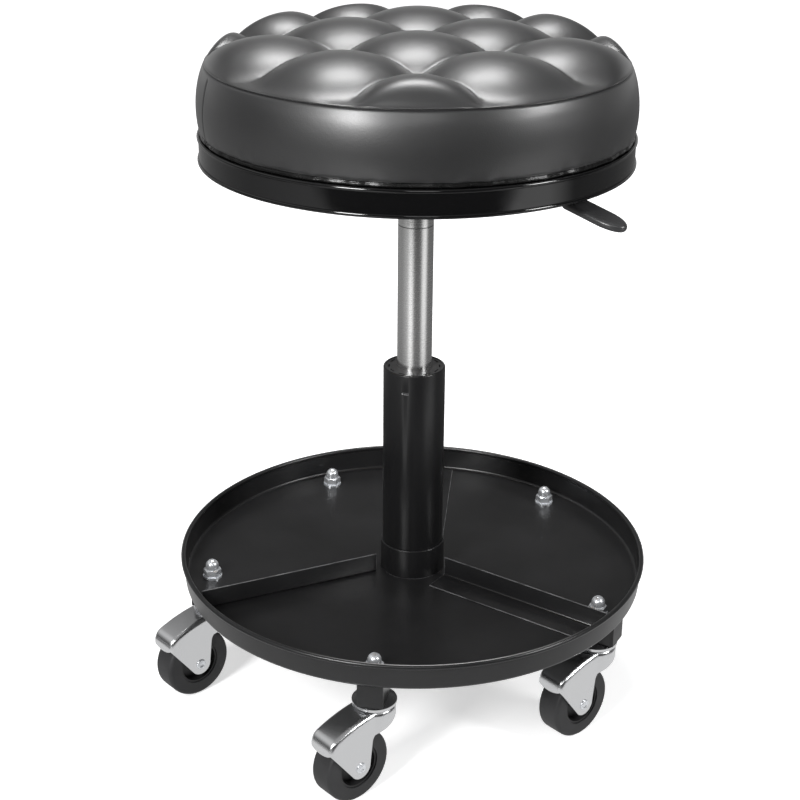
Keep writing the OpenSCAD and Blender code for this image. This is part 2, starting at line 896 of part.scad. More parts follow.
module seat_bolts() {
  len = plate_t + board_t - tee_t;
  color([0.7, 0.7, 0.7])
    on_lever()
      for (x = [-bolt_l / 2, bolt_l / 2])
        for (y = [-bolt_s / 2, bolt_s / 2])
          translate([x, y, plate_z]) {
            translate([0, 0, -bolt_head_h])
              cylinder(r = bolt_af / 2 / cos(30), h = bolt_head_h, $fn = 6);
            cylinder(r = bolt_r, h = len);
          }
}

// Flanged nuts sunk in the board from above
module tee_nuts() {
  color([0.7, 0.7, 0.7])
    on_lever()
      for (x = [-bolt_l / 2, bolt_l / 2])
        for (y = [-bolt_s / 2, bolt_s / 2])
          translate([x, y, 0]) {
            ring(tee_barrel_r, bolt_r + fit_gap / 2, board_z + board_t / 3, board_top);
            ring(tee_r, bolt_r + fit_gap / 2, board_top, board_top + tee_t);
          }
}

// The trim ring's section: lower lip, band, a bead at each edge
module seat_ring() {
  color([0.02, 0.02, 0.022])
    rotate_extrude($fn = 180)
      union() {
        translate([ring_r - lip_w, ring_z0])
          square([lip_w - bead_r, ring_t]);
        translate([ring_r - ring_t, ring_z0 + bead_r])
          square([ring_t, ring_h - 2 * bead_r]);
        translate([ring_r + ring_t - bead_r, ring_z0 + bead_r])
          circle(r = bead_r);
        translate([ring_r + ring_t - bead_r, ring_z1 - bead_r])
          circle(r = bead_r);
      }
}

module firm_foam() {
  color([0.8, 0.75, 0.55])
    difference() {
      translate([0, 0, board_top])
        cylinder(r = firm_r, h = firm_t);
      on_lever()
        for (x = [-bolt_l / 2, bolt_l / 2])
          for (y = [-bolt_s / 2, bolt_s / 2])
            translate([x, y, board_top - cut])
              cylinder(r = tee_r + fit_gap, h = tee_t + fit_gap + cut);
    }
}

// How far the puff at p lies below the middle one
function puff_drop(p) = crown_fall * (p[0] * p[0] + p[1] * p[1]) / (seam_r * seam_r)
                        - puff_lean * p[1] / seam_r;

// Radius of the face of the puff at p, smaller along the edge
function face_r(p) = norm(p) < edge_share * seam_r ? puff_face_r : edge_face_r;

// The cushion's side section, from its foot in the ring to the sewn edge
module band_section() {
  mid_z = (ring_z1 + seam_z) / 2;
  bulge = cushion_r - (brim_r + seam_r) / 2;
  half = (seam_z - ring_z1) / 2;
  side_r = (half * half + bulge * bulge) / (2 * bulge);
  translate([0, board_top])
    square([foot_r, ring_z1 - board_top]);
  intersection() {
    translate([cushion_r - side_r, mid_z])
      circle(r = side_r, $fn = 180);
    translate([0, ring_z1 - tray_t])
      square([cushion_r, seam_z - ring_z1 + tray_t]);
    polygon([[0, 0], [brim_r, 0], [brim_r, ring_z1], [cushion_r + bulge, mid_z],
             [seam_r + bulge, seam_z], [seam_r + bulge, 2 * seam_z], [0, 2 * seam_z]]);
  }
}

// The rounded top edge that the puffs run out on
module crown_section() {
  a = asin((seam_r - seam_groove - (seam_r - top_edge_r)) / top_edge_r * 0.9);
  cx = seam_r - seam_groove - top_edge_r * sin(a);
  cz = seam_z - top_edge_r * cos(a);
  intersection() {
    union() {
      translate([cx, cz])
        circle(r = top_edge_r, $fn = 180);
      translate([0, seam_z - crown_h])
        square([cx, cz + top_edge_r - seam_z + crown_h]);
    }
    translate([0, seam_z - crown_h])
      square([seam_r, 3 * crown_h]);
  }
}

// Plain side band below, puffs in staggered rows above, sewn groove between
module cushion() {
  p = puff_pitch / 2;
  bed_r = (seam_r * seam_r + bed_rise * bed_rise) / (2 * bed_rise);
  color([0.05, 0.05, 0.055])
    difference() {
      union() {
        rotate_extrude($fn = 180)
          band_section();
        intersection() {
          rotate_extrude($fn = 180)
            crown_section();
          union() {
            intersection() {
              translate([0, 0, seam_z - crown_h])
                cylinder(r = seam_r, h = 2 * crown_h, $fn = 180);
              translate([0, 0, seam_z + bed_rise - bed_r])
                sphere(r = bed_r, $fn = 180);
            }
            for (j = [-3 : 3])
              for (i = [-2 : 2])
                let (c = [puff_x + (i + (abs(j + 1) % 2) / 2) * puff_pitch, (j + 0.5) * p])
                  if (norm(c) < seam_r + puff_over)
                    translate([c[0], c[1], puff_top - puff_drop(c) - face_r(c)])
                      sphere(r = face_r(c), $fn = 96);
          }
        }
      }
      translate([0, 0, board_top - cut])
        cylinder(r = firm_r + fit_gap, h = firm_t + fit_gap + cut);
    }
}

// The flat outline of the fork's side plate in its X-Z plane
module fork_outline() {
  tip = [trail, axle_z];
  rear_a = -33;
  rear = tip + fork_tip_r * [cos(rear_a), sin(rear_a)];
  front = [trail - fork_tip_r, axle_z];
  notch = [trail - fork_tip_r - fold_r * 0.7, crown_z - fork_tip_r * 2.15];
  nose = [-crown_r - cut, crown_z - fold_r * 1.5];
  fillet = fork_tip_r * 0.9;
  u = unit(front - notch);
  v = unit(nose - notch);
  half = acos(u * v) / 2;
  n1 = notch + u * fillet / tan(half);
  n2 = notch + v * fillet / tan(half);
  nc = notch + unit(u + v) * fillet / sin(half);
  translate(tip)
    circle(r = fork_tip_r);
  difference() {
    polygon([rear, [lip_x, lip_z], [lip_x, crown_z + cut], [-crown_r - cut, crown_z + cut],
             nose, [nose[0], axle_z], front, tip]);
    polygon([front, n1, n2, nose, nose - [cut, 0], [nose[0] - cut, axle_z - cut],
             [front[0], axle_z - cut]]);
    translate(nc)
      circle(r = fillet);
  }
}

// A drum across the wheel, its rim's two edges rounded like the folds
module fold_drum(x, z, r, w, edge) {
  translate([x, 0, z])
    rotate([90, 0, 0])
      rotate_extrude($fn = 144)
        union() {
          translate([0, -w / 2])
            square([r - edge, w]);
          translate([0, edge - w / 2])
            square([r, w - 2 * edge]);
          translate([r - edge, w / 2 - edge])
            circle(r = edge);
          translate([r - edge, edge - w / 2])
            circle(r = edge);
        }
}

// The hood as a solid: long upper curve, rounded rear end, straight sides below
module hood_body(inset) {
  w = fork_w - 2 * inset;
  edge = fold_r - inset;
  x1 = lip_x - inset;
  reach = 1.1 * hood_r / (hood_r - visor_r);
  union() {
    intersection() {
      fold_drum(0, hood_z, hood_r - inset, w, edge);
      translate([0, w, 0])
        rotate([90, 0, 0])
          linear_extrude(2 * w)
            polygon([[0, hood_z], [visor_x * reach, hood_z + (visor_z - hood_z) * reach],
                     [0, hood_z + hood_r * reach]]);
    }
    fold_drum(visor_x, visor_z, visor_r - inset, w, edge);
    translate([0, -w / 2, 0])
      cube([x1 - edge, w, visor_z]);
    translate([0, edge - w / 2, 0])
      cube([x1, w - 2 * edge, visor_z]);
    for (y = [-1, 1])
      translate([x1 - edge, y * (w / 2 - edge), 0])
        cylinder(r = edge, h = visor_z);
  }
}

// The round crown with its folded edge, as a solid button
module crown_button(r, top, edge) {
  rotate_extrude()
    intersection() {
      union() {
        translate([0, axle_z])
          square([r, top - axle_z - edge]);
        translate([0, axle_z])
          square([r - edge, top - axle_z]);
        translate([r - edge, top - edge])
          circle(r = edge);
      }
      translate([0, axle_z])
        square([r, top]);
    }
}

// The stamped hooded fork, standing with the stud's axis at X 0
module fork() {
  bow_r = (fork_w * fork_w / 4 + lip_hang * lip_hang) / (2 * lip_hang);
  difference() {
    intersection() {
      union() {
        crown_button(crown_r, crown_z, fold_r);
        hood_body(0);
      }
      union() {
        translate([0, fork_w, 0])
          rotate([90, 0, 0])
            linear_extrude(2 * fork_w)
              fork_outline();
        intersection() {
          translate([lip_x - 2 * fork_t, -fork_w / 2, lip_z - lip_hang])
            cube([2 * fork_t + cut, fork_w, lip_hang]);
          translate([lip_x - 3 * fork_t, 0, lip_z - lip_hang + bow_r])
            rotate([0, 90, 0])
              cylinder(r = bow_r, h = 4 * fork_t + cut);
        }
      }
    }
    hood_body(fork_t);
    crown_button(crown_r - fork_t, crown_z - fork_t, fold_r - fork_t);
    translate([0, 0, crown_z - fork_t - cut])
      cylinder(r = stud_r + run_gap, h = fork_t + 2 * cut);
    translate([trail, fork_w, axle_z])
      rotate([90, 0, 0])
        cylinder(r = axle_r + fit_gap / 2, h = 2 * fork_w);
  }
}

// The riveted axle with its two heads
module axle() {
  translate([trail, 0, axle_z])
    rotate([90, 0, 0]) {
      translate([0, 0, -fork_w / 2])
        cylinder(r = axle_r, h = fork_w);
      translate([0, 0, fork_w / 2])
        cylinder(r = axle_head_r, h = axle_head_t);
      translate([0, 0, -fork_w / 2 - axle_head_t])
        cylinder(r = axle_head_r, h = axle_head_t);
    }
}

// The wheel's hub: rim, thin web and long boss
module hub() {
  a = wheel_w / 2 - hub_inset;
  b = fork_in / 2 - boss_play;
  translate([trail, 0, axle_z])
    rotate([90, 0, 0])
      rotate_extrude()
        polygon([[axle_r + run_gap, -b], [hub_boss_r, -b], [hub_boss_r + hub_inset, -hub_web / 2],
                 [hub_r - hub_rim - hub_inset, -hub_web / 2], [hub_r - hub_rim, -a], [hub_r, -a],
                 [hub_r, a], [hub_r - hub_rim, a], [hub_r - hub_rim - hub_inset, hub_web / 2],
                 [hub_boss_r + hub_inset, hub_web / 2], [hub_boss_r, b], [axle_r + run_gap, b]]);
}

// The tyre with rounded shoulders
module tyre() {
  a = wheel_w / 2;
  translate([trail, 0, axle_z])
    rotate([90, 0, 0])
      rotate_extrude($fn = 96)
        union() {
          translate([hub_r, -a])
            square([wheel_r - shoulder_r - hub_r, 2 * a]);
          translate([hub_r, shoulder_r - a])
            square([wheel_r - hub_r, 2 * a - 2 * shoulder_r]);
          translate([wheel_r - shoulder_r, a - shoulder_r])
            circle(r = shoulder_r);
          translate([wheel_r - shoulder_r, shoulder_r - a])
            circle(r = shoulder_r);
        }
}

module fork_1() {
  color([0.85, 0.85, 0.87])
    on_caster(0)
      fork();
}

module axle_1() {
  color([0.8, 0.8, 0.82])
    on_caster(0)
      axle();
}

module hub_1() {
  color([0.05, 0.05, 0.05])
    on_caster(0)
      hub();
}

module tyre_1() {
  color([0.08, 0.08, 0.08])
    on_caster(0)
      tyre();
}

module fork_2() {
  color([0.85, 0.85, 0.87])
    on_caster(1)
      fork();
}

module axle_2() {
  color([0.8, 0.8, 0.82])
    on_caster(1)
      axle();
}

module hub_2() {
  color([0.05, 0.05, 0.05])
    on_caster(1)
      hub();
}

module tyre_2() {
  color([0.08, 0.08, 0.08])
    on_caster(1)
      tyre();
}

module fork_3() {
  color([0.85, 0.85, 0.87])
    on_caster(2)
      fork();
}

module axle_3() {
  color([0.8, 0.8, 0.82])
    on_caster(2)
      axle();
}

module hub_3() {
  color([0.05, 0.05, 0.05])
    on_caster(2)
      hub();
}

module tyre_3() {
  color([0.08, 0.08, 0.08])
    on_caster(2)
      tyre();
}

module fork_4() {
  color([0.85, 0.85, 0.87])
    on_caster(3)
      fork();
}

module axle_4() {
  color([0.8, 0.8, 0.82])
    on_caster(3)
      axle();
}

module hub_4() {
  color([0.05, 0.05, 0.05])
    on_caster(3)
      hub();
}

module tyre_4() {
  color([0.08, 0.08, 0.08])
    on_caster(3)
      tyre();
}

module fork_5() {
  color([0.85, 0.85, 0.87])
    on_caster(4)
      fork();
}

module axle_5() {
  color([0.8, 0.8, 0.82])
    on_caster(4)
      axle();
}

module hub_5() {
  color([0.05, 0.05, 0.05])
    on_caster(4)
      hub();
}

module tyre_5() {
  color([0.08, 0.08, 0.08])
    on_caster(4)
      tyre();
}

tray_pan();
divider_right();
divider_rear();
divider_left();
column_collar();
hub_sleeve();
frame_legs();
leg_caps();
outer_tube();
tube_base();
guide_bush();
thrust_bearing();
bump_stop();
caster_studs();
caster_cups();
caster_balls();
cap_nuts();
nut_washers();
piston_rod();
piston();
rod_clip();
gas_cylinder();
rod_gland();
valve_pin();
seat_socket();
seat_plate();
lever_pin();
lever_bar();
lever_grip();
seat_board();
seat_bolts();
tee_nuts();
seat_ring();
firm_foam();
cushion();
fork_1();
axle_1();
hub_1();
tyre_1();
fork_2();
axle_2();
hub_2();
tyre_2();
fork_3();
axle_3();
hub_3();
tyre_3();
fork_4();
axle_4();
hub_4();
tyre_4();
fork_5();
axle_5();
hub_5();
tyre_5();
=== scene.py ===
import math

import bmesh
import bpy
from mathutils import Matrix, Vector, noise


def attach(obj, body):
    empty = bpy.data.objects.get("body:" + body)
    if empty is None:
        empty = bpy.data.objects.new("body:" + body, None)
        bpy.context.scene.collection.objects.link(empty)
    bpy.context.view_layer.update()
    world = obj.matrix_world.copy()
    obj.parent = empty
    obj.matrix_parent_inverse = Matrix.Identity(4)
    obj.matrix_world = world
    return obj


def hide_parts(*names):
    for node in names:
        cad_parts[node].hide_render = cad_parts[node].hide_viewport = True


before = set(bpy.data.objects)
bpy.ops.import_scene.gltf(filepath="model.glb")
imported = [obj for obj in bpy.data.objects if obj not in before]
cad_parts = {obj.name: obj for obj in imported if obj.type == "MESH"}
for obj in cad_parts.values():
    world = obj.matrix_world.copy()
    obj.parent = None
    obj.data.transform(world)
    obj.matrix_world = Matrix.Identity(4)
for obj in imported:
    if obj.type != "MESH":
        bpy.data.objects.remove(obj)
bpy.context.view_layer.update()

MM = 0.001

# How close to its height or radius a picked point lies
NEAR = 0.0001

# Camera of the photograph, in the part's frame: pan from +Y, tilt down, roll about its own axis
CAMERA_PLACE = (0.0, -1.20545, 0.77196)
CAMERA_PAN = math.radians(0.5383)
CAMERA_TILT = math.radians(23.3869)
CAMERA_ROLL = math.radians(0.4461)
CAMERA_LENS = 72.817
SENSOR_W = 36
CLIP_START = 0.05

# Cushion's outline: seam, widest place, brim above the ring, foot inside it, hollow for the core
SEAM_R = 0.1595
SEAM_Z = 0.5261
CUSHION_R = 0.1654
BRIM_R = 0.1632
BRIM_Z = 0.4741
FOOT_R = 0.1614
FOOT_Z = 0.4667
FOOT_TURN = 0.0012
CORE_R = 0.1503
CORE_Z = 0.4788
ROOF_SHARES = (0.86, 0.7, 0.5, 0.3)

# Tufted top: puffs in staggered rows over a low bed, rounded off at the shoulder
PUFF_STEP = 0.053
PUFF_FACE_R = 0.092
EDGE_FACE_R = 0.062
EDGE_SHARE = 0.76
PUFF_TOP = 0.5526
PUFF_FALL = 0.01
PUFF_LEAN = 0.003
PUFF_OVER = 0.004
BED_RISE = 0.007
BED_UNDER = 0.02
SHOULDER_R = 0.054
SHOULDER_X = 0.1108
SHOULDER_Z = 0.50079
TOP_BLEND = 0.006
LEAST_SLOPE = 0.2
HIDDEN_SHARE = 3

# Rows of points: the top's grid and its last rows inside the seam, the seam's groove as steps out
# and up from it, then the side band's rows, the lowest ones close together for the hem
GRID = 112
TOP_BACK = 0.0045
LAST_BACKS = (0.0034, 0.0024, 0.0017)
SEAM_GROOVE = ((-0.0006, 0.0007), (-0.0008, 0.0001), (-0.0021, -0.0003),
               (-0.0008, -0.0007), (0.0002, -0.0014), (0.0006, -0.0024))
BAND_ROWS = 14
BAND_TOP_SHARE = 0.93
HEM_SHARES = (0.053, 0.042, 0.032, 0.022, 0.012, 0.0)

# Filling: reach of the sewn foot, seam and valleys, and how far the cover may swell
HELD_FOOT = 0.004
HELD_SEAM_R = 0.004
HELD_SEAM_Z = 0.003
HELD_VALLEY = 0.004
HELD_LEAST = 0.02
FILL_PRESSURE = 2.0
FILL_FRAMES = 20
SWELL_LIMIT = 0.0025

# Creases: valleys, waves and folds of the side band, its seam, and the knotted hem, glossier and
# darker with painted shade.
# A noise is given as its scale round the band, its scale up it, and where it starts.
CREASE_EDGE = 0.001
VALLEY_DEPTH = 0.0005
VALLEY_W = 0.0016
VALLEY_FADE = 0.006
BAND_TOP_GAP = 0.003
BAND_FADE = 0.01
WAVE_DEPTH = 0.0005
FOLD_DEPTH = 0.001
FOLD_H = 0.014
SIDE_SEAM = math.radians(-158.8)
SIDE_SEAM_DEPTH = 0.0008
SIDE_SEAM_W = 0.0012
SEAM_PULL_SHARE = 0.6
SEAM_PULL_TURN = 0.02
SEAM_PULL_W = 0.003
WAVE_NOISE = (2.6, 16, 0.0)
FOLD_NOISE = (16, 30, 5.0)
KNOT_NOISE = (9, 0, 2.0)
FINE_KNOT_NOISE = (31, 0, 7.0)
FINE_KNOT_SHARE = 0.6
HEM_OUT = 0.0006
HEM_KNOT = 0.0004
HEM_UP = 0.0013
HEM_W = 0.0011
TUCK_DEPTH = 0.0008
TUCK_UP = 0.0035
TUCK_KNOT = 0.0009
TUCK_W = 0.0008
HEM_TOP = 0.0042

# Sheet steel of ring and tray, points round each of them, and sides of their rolled beads
SHEET = 0.0012
ROUND_STEPS = 288
BEAD_SIDES = 28

# Ring's bead and foot, and the cover's edge stapled below the board
BEAD_R = 0.0016
RING_FOOT = 0.008
WRAP_R = 0.131
WRAP_T = 0.0008
WRAP_GAP = 0.0001
WRAP_CLEAR = 0.0004
WRAP_CRUMPLE = 0.0004
STAPLES = 40
STAPLE_SIZE = (0.0104, 0.001, 0.0006)
STAPLE_EDGE = 0.0002
STAPLE_R = WRAP_R * 1.055
STAPLE_DROP = 0.0014
STAPLE_TILT = 0.5
STAPLE_CHANCE = 3.1

# Tray
TRAY_HOLE = 0.0251
TRAY_CORNER = 0.0035
WALL_INSET = 0.0018
HEM_R = 0.002
# Depth below the rim's crest and run along X of the painted highlight on the front rim
RIM_HIGHLIGHT_DEPTH = 0.00008
RIM_HIGHLIGHT_X = (-0.12, 0.16)

# Casters: rivet through the fork, its head given as radius and rise in millimetres
FORK_W = 0.026
TRAIL_AIM = math.radians(222)
AXLE_R = 0.003
AXLE_OUT = 0.00002
AXLE_STEPS = 48
RIVET_HEAD = ((4.3, 0.02), (4.4, 0.3), (4.25, 0.75), (3.7, 1.1),
              (3.0, 1.15), (2.4, 0.95), (1.9, 0.45), (1.3, 0.25))

# Painted glint on the outer tube, and the dark line where the cylinder's taper starts
GLINT_PLACE = (-0.0078, -0.0238, 0.2659)
GLINT_HALF = (0.0021, 0.004, 0.0007)
# Height and half width of the painted shade line where the cylinder's taper starts
TAPER_Z = 0.3998
TAPER_LINE = 0.0003

# Lever's paddle
LEVER_AIM = math.radians(-40)
LEVER_OUT = 0.141
LEVER_Z = 0.4459
PADDLE_TILT = math.radians(12.7)
PADDLE_START = 0.001
PADDLE_LEN = 0.0498
PADDLE_W = 0.021
PADDLE_H = 0.006
PADDLE_OVAL = 0.019
PADDLE_ROOT_R = 0.003
PADDLE_TIP_SHARE = 0.999
PADDLE_EDGE = 0.0027

# Merging of the carried-over solids' points, and the angle past which an edge stays sharp
WELD_REACH = 0.00001
SHARP = math.radians(32)


def node_box(name):
    """Lowest and highest corner of a carried-over solid."""
    points = [v.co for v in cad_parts[name].data.vertices]
    low = Vector([min(p[i] for p in points) for i in range(3)])
    high = Vector([max(p[i] for p in points) for i in range(3)])
    return low, high


RING_LOW, RING_HIGH = node_box("seat_ring")
RING_R = RING_HIGH.x - SHEET
TRAY_LOW, TRAY_HIGH = node_box("tray_pan")
TRAY_R = TRAY_HIGH.x
RIM_Z = TRAY_HIGH.z


def deselect():
    if bpy.context.object and bpy.context.object.mode != "OBJECT":
        bpy.ops.object.mode_set(mode="OBJECT")
    bpy.ops.object.select_all(action="DESELECT")


def pick(obj):
    """Makes obj the only selected and active object."""
    deselect()
    obj.select_set(True)
    bpy.context.view_layer.objects.active = obj


def settle(obj):
    """Puts the object's place, turn and size into its mesh."""
    pick(obj)
    bpy.ops.object.transform_apply(location=True, rotation=True, scale=True)


def apply_modifiers(obj):
    pick(obj)
    for m in list(obj.modifiers):
        bpy.ops.object.modifier_apply(modifier=m.name)


# Materials

def add_range(tree, value, before, after):
    """Carries one range of a value over to another."""
    node = tree.nodes.new("ShaderNodeMapRange")
    node.inputs["From Min"].default_value, node.inputs["From Max"].default_value = before
    node.inputs["To Min"].default_value, node.inputs["To Max"].default_value = after
    tree.links.new(value, node.inputs["Value"])
    return node.outputs["Result"]


def add_math(tree, operation, *values):
    node = tree.nodes.new("ShaderNodeMath")
    node.operation = operation
    for k, value in enumerate(values):
        if isinstance(value, float):
            node.inputs[k].default_value = value
        else:
            tree.links.new(value, node.inputs[k])
    return node.outputs[0]


def add_vector_math(tree, operation, vector, by=(0, 0, 0)):
    node = tree.nodes.new("ShaderNodeVectorMath")
    node.operation = operation
    tree.links.new(vector, node.inputs[0])
    node.inputs[1].default_value = by
    return node.outputs["Value" if operation == "LENGTH" else "Vector"]


def split_axes(tree, vector):
    """The X, Y and Z outputs of a vector."""
    node = tree.nodes.new("ShaderNodeSeparateXYZ")
    tree.links.new(vector, node.inputs[0])
    return node.outputs


class Finish:
    """A node material with the object's own coordinates at hand."""

    def __init__(self, name, colour, roughness, metallic=0.0, specular=0.5):
        self.mat = bpy.data.materials.new(name)
        self.mat.use_nodes = True
        self.tree = self.mat.node_tree
        self.shader = self.tree.nodes["Principled BSDF"]
        self.set("Base Color", (*colour, 1.0))
        self.set("Roughness", roughness)
        self.set("Metallic", metallic)
        self.set("Specular IOR Level", specular)
        self.place = self.node("ShaderNodeTexCoord").outputs["Object"]
        self.colour = colour
        self.bump_out = None

    def node(self, kind):
        return self.tree.nodes.new(kind)

    def link(self, a, b):
        self.tree.links.new(a, b)

    def set(self, socket, value):
        self.shader.inputs[socket].default_value = value

    def stretched(self, scale):
        """Coordinates stretched by scale, for turned and sawn surfaces."""
        m = self.node("ShaderNodeMapping")
        m.inputs["Scale"].default_value = scale
        self.link(self.place, m.inputs["Vector"])
        return m.outputs["Vector"]

    def noise(self, scale, detail=3.0, rough=0.5, place=None):
        n = self.node("ShaderNodeTexNoise")
        n.inputs["Scale"].default_value = scale
        n.inputs["Detail"].default_value = detail
        n.inputs["Roughness"].default_value = rough
        self.link(place or self.place, n.inputs["Vector"])
        return n.outputs["Fac"]

    def cells(self, scale):
        n = self.node("ShaderNodeTexVoronoi")
        n.inputs["Scale"].default_value = scale
        self.link(self.place, n.inputs["Vector"])
        return n.outputs["Distance"]

    def ramp(self, value, stops):
        n = self.node("ShaderNodeValToRGB")
        e = n.color_ramp.elements
        while len(e) < len(stops):
            e.new(0.5)
        for k, (at, colour) in enumerate(stops):
            e[k].position = at
            e[k].color = (*colour, 1.0)
        self.link(value, n.inputs["Fac"])
        return n.outputs["Color"]

    def colour_by(self, value, stops):
        self.link(self.ramp(value, stops), self.shader.inputs["Base Color"])

    def vary_colour(self, value, low, high):
        """The colour runs from low to high times itself."""
        c = self.colour
        self.colour_by(value, [(0.3, [v * low for v in c]), (0.7, [v * high for v in c])])

    def vary_roughness(self, value, low, high):
        varied = add_range(self.tree, value, (0.0, 1.0), (low, high))
        self.link(varied, self.shader.inputs["Roughness"])

    def bump(self, height, depth):
        """Adds a bump of depth metres on top of those before it."""
        n = self.node("ShaderNodeBump")
        n.inputs["Distance"].default_value = depth
        self.link(height, n.inputs["Height"])
        if self.bump_out:
            self.link(self.bump_out, n.inputs["Normal"])
        self.bump_out = n.outputs["Normal"]
        self.link(self.bump_out, self.shader.inputs["Normal"])


COAT_BLACK = (0.0105, 0.0105, 0.011)


def powder_coat():
    f = Finish("powder_coat", COAT_BLACK, 0.3)
    f.vary_colour(f.noise(18, 4), 0.75, 1.3)
    f.vary_roughness(f.noise(40, 4), 0.25, 0.35)
    f.bump(f.noise(900, 2), 0.00004)
    f.bump(f.noise(60, 2), 0.00006)
    return f.mat


def painted_rim_highlight():
    """The tray's black coat, with a painted highlight along the crest of its front rim."""
    f = Finish("painted_rim_highlight", COAT_BLACK, 0.3)
    axes = split_axes(f.tree, f.place)
    crest = add_math(f.tree, "GREATER_THAN", axes["Z"], RIM_Z - RIM_HIGHLIGHT_DEPTH)
    along = add_range(f.tree, axes["X"], RIM_HIGHLIGHT_X, (0.0, 1.0))
    # Lighter grey on the crest, fading out at both ends: a painted highlight
    faint, highlight = (0.02, 0.02, 0.02), (0.4, 0.4, 0.4)
    rim_highlight = f.ramp(along, [(0.12, faint), (0.4, highlight), (0.62, highlight), (0.9, faint)])
    mix = f.node("ShaderNodeMix")
    mix.data_type = "RGBA"
    f.link(crest, mix.inputs[0])
    mix.inputs[6].default_value = (*f.colour, 1)
    f.link(rim_highlight, mix.inputs[7])
    f.link(mix.outputs[2], f.shader.inputs["Base Color"])
    f.vary_roughness(f.noise(40, 4), 0.25, 0.35)
    f.bump(f.noise(900, 2), 0.00004)
    return f.mat


def painted_edge_highlight():
    """Lighter grey on the rounded edges: a painted highlight line along them."""
    f = Finish("painted_edge_highlight", (0.16, 0.16, 0.165), 0.35, metallic=0.3)
    f.vary_colour(f.noise(70, 4), 0.3, 1.5)
    f.vary_roughness(f.noise(90, 3), 0.28, 0.45)
    return f.mat


def column_paint():
    """Satin black with one small painted glint near the top of the tube."""
    f = Finish("column_paint", (0.008, 0.008, 0.0085), 0.3, specular=0.45)
    f.vary_roughness(f.noise(55, 4), 0.26, 0.34)
    f.bump(f.noise(1100, 2), 0.00002)
    # A small light patch on the tube: a painted glint
    away = add_vector_math(f.tree, "SUBTRACT", f.place, GLINT_PLACE)
    size = add_vector_math(f.tree, "LENGTH", add_vector_math(f.tree, "DIVIDE", away, GLINT_HALF))
    highlight = add_math(f.tree, "LESS_THAN", size, 1.0)
    f.colour_by(highlight, [(0.0, f.colour), (1.0, (0.55, 0.55, 0.56))])
    return f.mat


def ring_gloss():
    f = Finish("ring_gloss", (0.003, 0.003, 0.0032), 0.08, specular=0.6)
    f.vary_roughness(f.noise(30, 4), 0.05, 0.11)
    f.bump(f.noise(22, 2), 0.0003)
    return f.mat


def vinyl():
    f = Finish("vinyl", (0.01, 0.01, 0.0105), 0.5, specular=0.28)
    f.set("IOR", 1.8)
    f.set("Coat Weight", 1.0)
    f.set("Coat Roughness", 0.34)
    f.vary_colour(f.noise(14, 4), 0.8, 1.2)
    f.vary_roughness(f.noise(35, 5, 0.6), 0.44, 0.54)
    f.bump(f.cells(1100), 0.00006)
    f.bump(f.noise(300, 3), 0.00005)
    return f.mat


# The hem's vinyl: glossier, and darker than the cover as painted shade where it tucks into the
# ring
def vinyl_hem_shade():
    f = Finish("vinyl_hem_shade", (0.004, 0.004, 0.004), 0.25, specular=0.25)
    f.vary_roughness(f.noise(120, 4), 0.18, 0.36)
    f.bump(f.noise(400, 3), 0.0002)
    return f.mat


def chrome():
    f = Finish("chrome", (0.76, 0.765, 0.775), 0.26, metallic=1.0)
    f.vary_roughness(f.noise(40, 2), 0.24, 0.29)
    f.bump(f.noise(30, 2), 0.00012)
    return f.mat


def bright_zinc():
    f = Finish("bright_zinc", (0.82, 0.84, 0.87), 0.34, metallic=0.75)
    f.vary_roughness(f.noise(90, 2), 0.24, 0.3)
    f.vary_colour(f.noise(60, 2), 0.9, 1.05)
    f.bump(f.noise(250, 2), 0.00002)
    return f.mat


def turned_steel():
    """The lift's cylinder, with fine lines round it and a painted shade line where its taper
    starts.
    """
    f = Finish("turned_steel", (0.74, 0.74, 0.735), 0.26, metallic=1.0)
    lines = f.noise(30, 4, 0.7, place=f.stretched((1.0, 1.0, 90.0)))
    f.vary_roughness(lines, 0.22, 0.31)
    f.bump(lines, 0.00002)
    height = split_axes(f.tree, f.place)["Z"]
    # A thin dark band at the taper's start: painted shade
    at_taper = add_math(f.tree, "COMPARE", height, TAPER_Z, TAPER_LINE)
    f.colour_by(at_taper, [(0.0, f.colour), (1.0, (0.06, 0.06, 0.06))])
    return f.mat


def plain_steel():
    f = Finish("plain_steel", (0.42, 0.42, 0.43), 0.35, metallic=1.0)
    f.vary_roughness(f.noise(300, 4), 0.28, 0.45)
    f.vary_colour(f.noise(90, 3), 0.8, 1.15)
    f.bump(f.noise(800, 2), 0.00003)
    return f.mat


def tyre_rubber():
    f = Finish("tyre_rubber", (0.022, 0.022, 0.023), 0.52, specular=0.45)
    f.vary_colour(f.noise(60, 4), 0.75, 1.35)
    f.vary_roughness(f.noise(120, 5), 0.48, 0.68)
    f.bump(f.noise(1500, 3), 0.00006)
    return f.mat


def moulded_plastic():
    f = Finish("moulded_plastic", (0.012, 0.012, 0.0125), 0.42)
    f.vary_roughness(f.noise(90, 4), 0.36, 0.5)
    f.bump(f.noise(1600, 2), 0.00004)
    return f.mat


def grip_plastic():
    f = Finish("grip_plastic", (0.032, 0.032, 0.033), 0.32, specular=0.6)
    f.vary_roughness(f.noise(70, 4), 0.26, 0.38)
    f.bump(f.noise(1300, 2), 0.00003)
    return f.mat


def dark_rubber():
    f = Finish("dark_rubber", (0.02, 0.02, 0.02), 0.7)
    f.bump(f.noise(900, 3), 0.00008)
    f.vary_colour(f.noise(80, 3), 0.8, 1.2)
    return f.mat


def nylon():
    f = Finish("nylon", (0.08, 0.08, 0.078), 0.45)
    f.bump(f.noise(500, 3), 0.00004)
    f.vary_colour(f.noise(120, 3), 0.85, 1.15)
    return f.mat


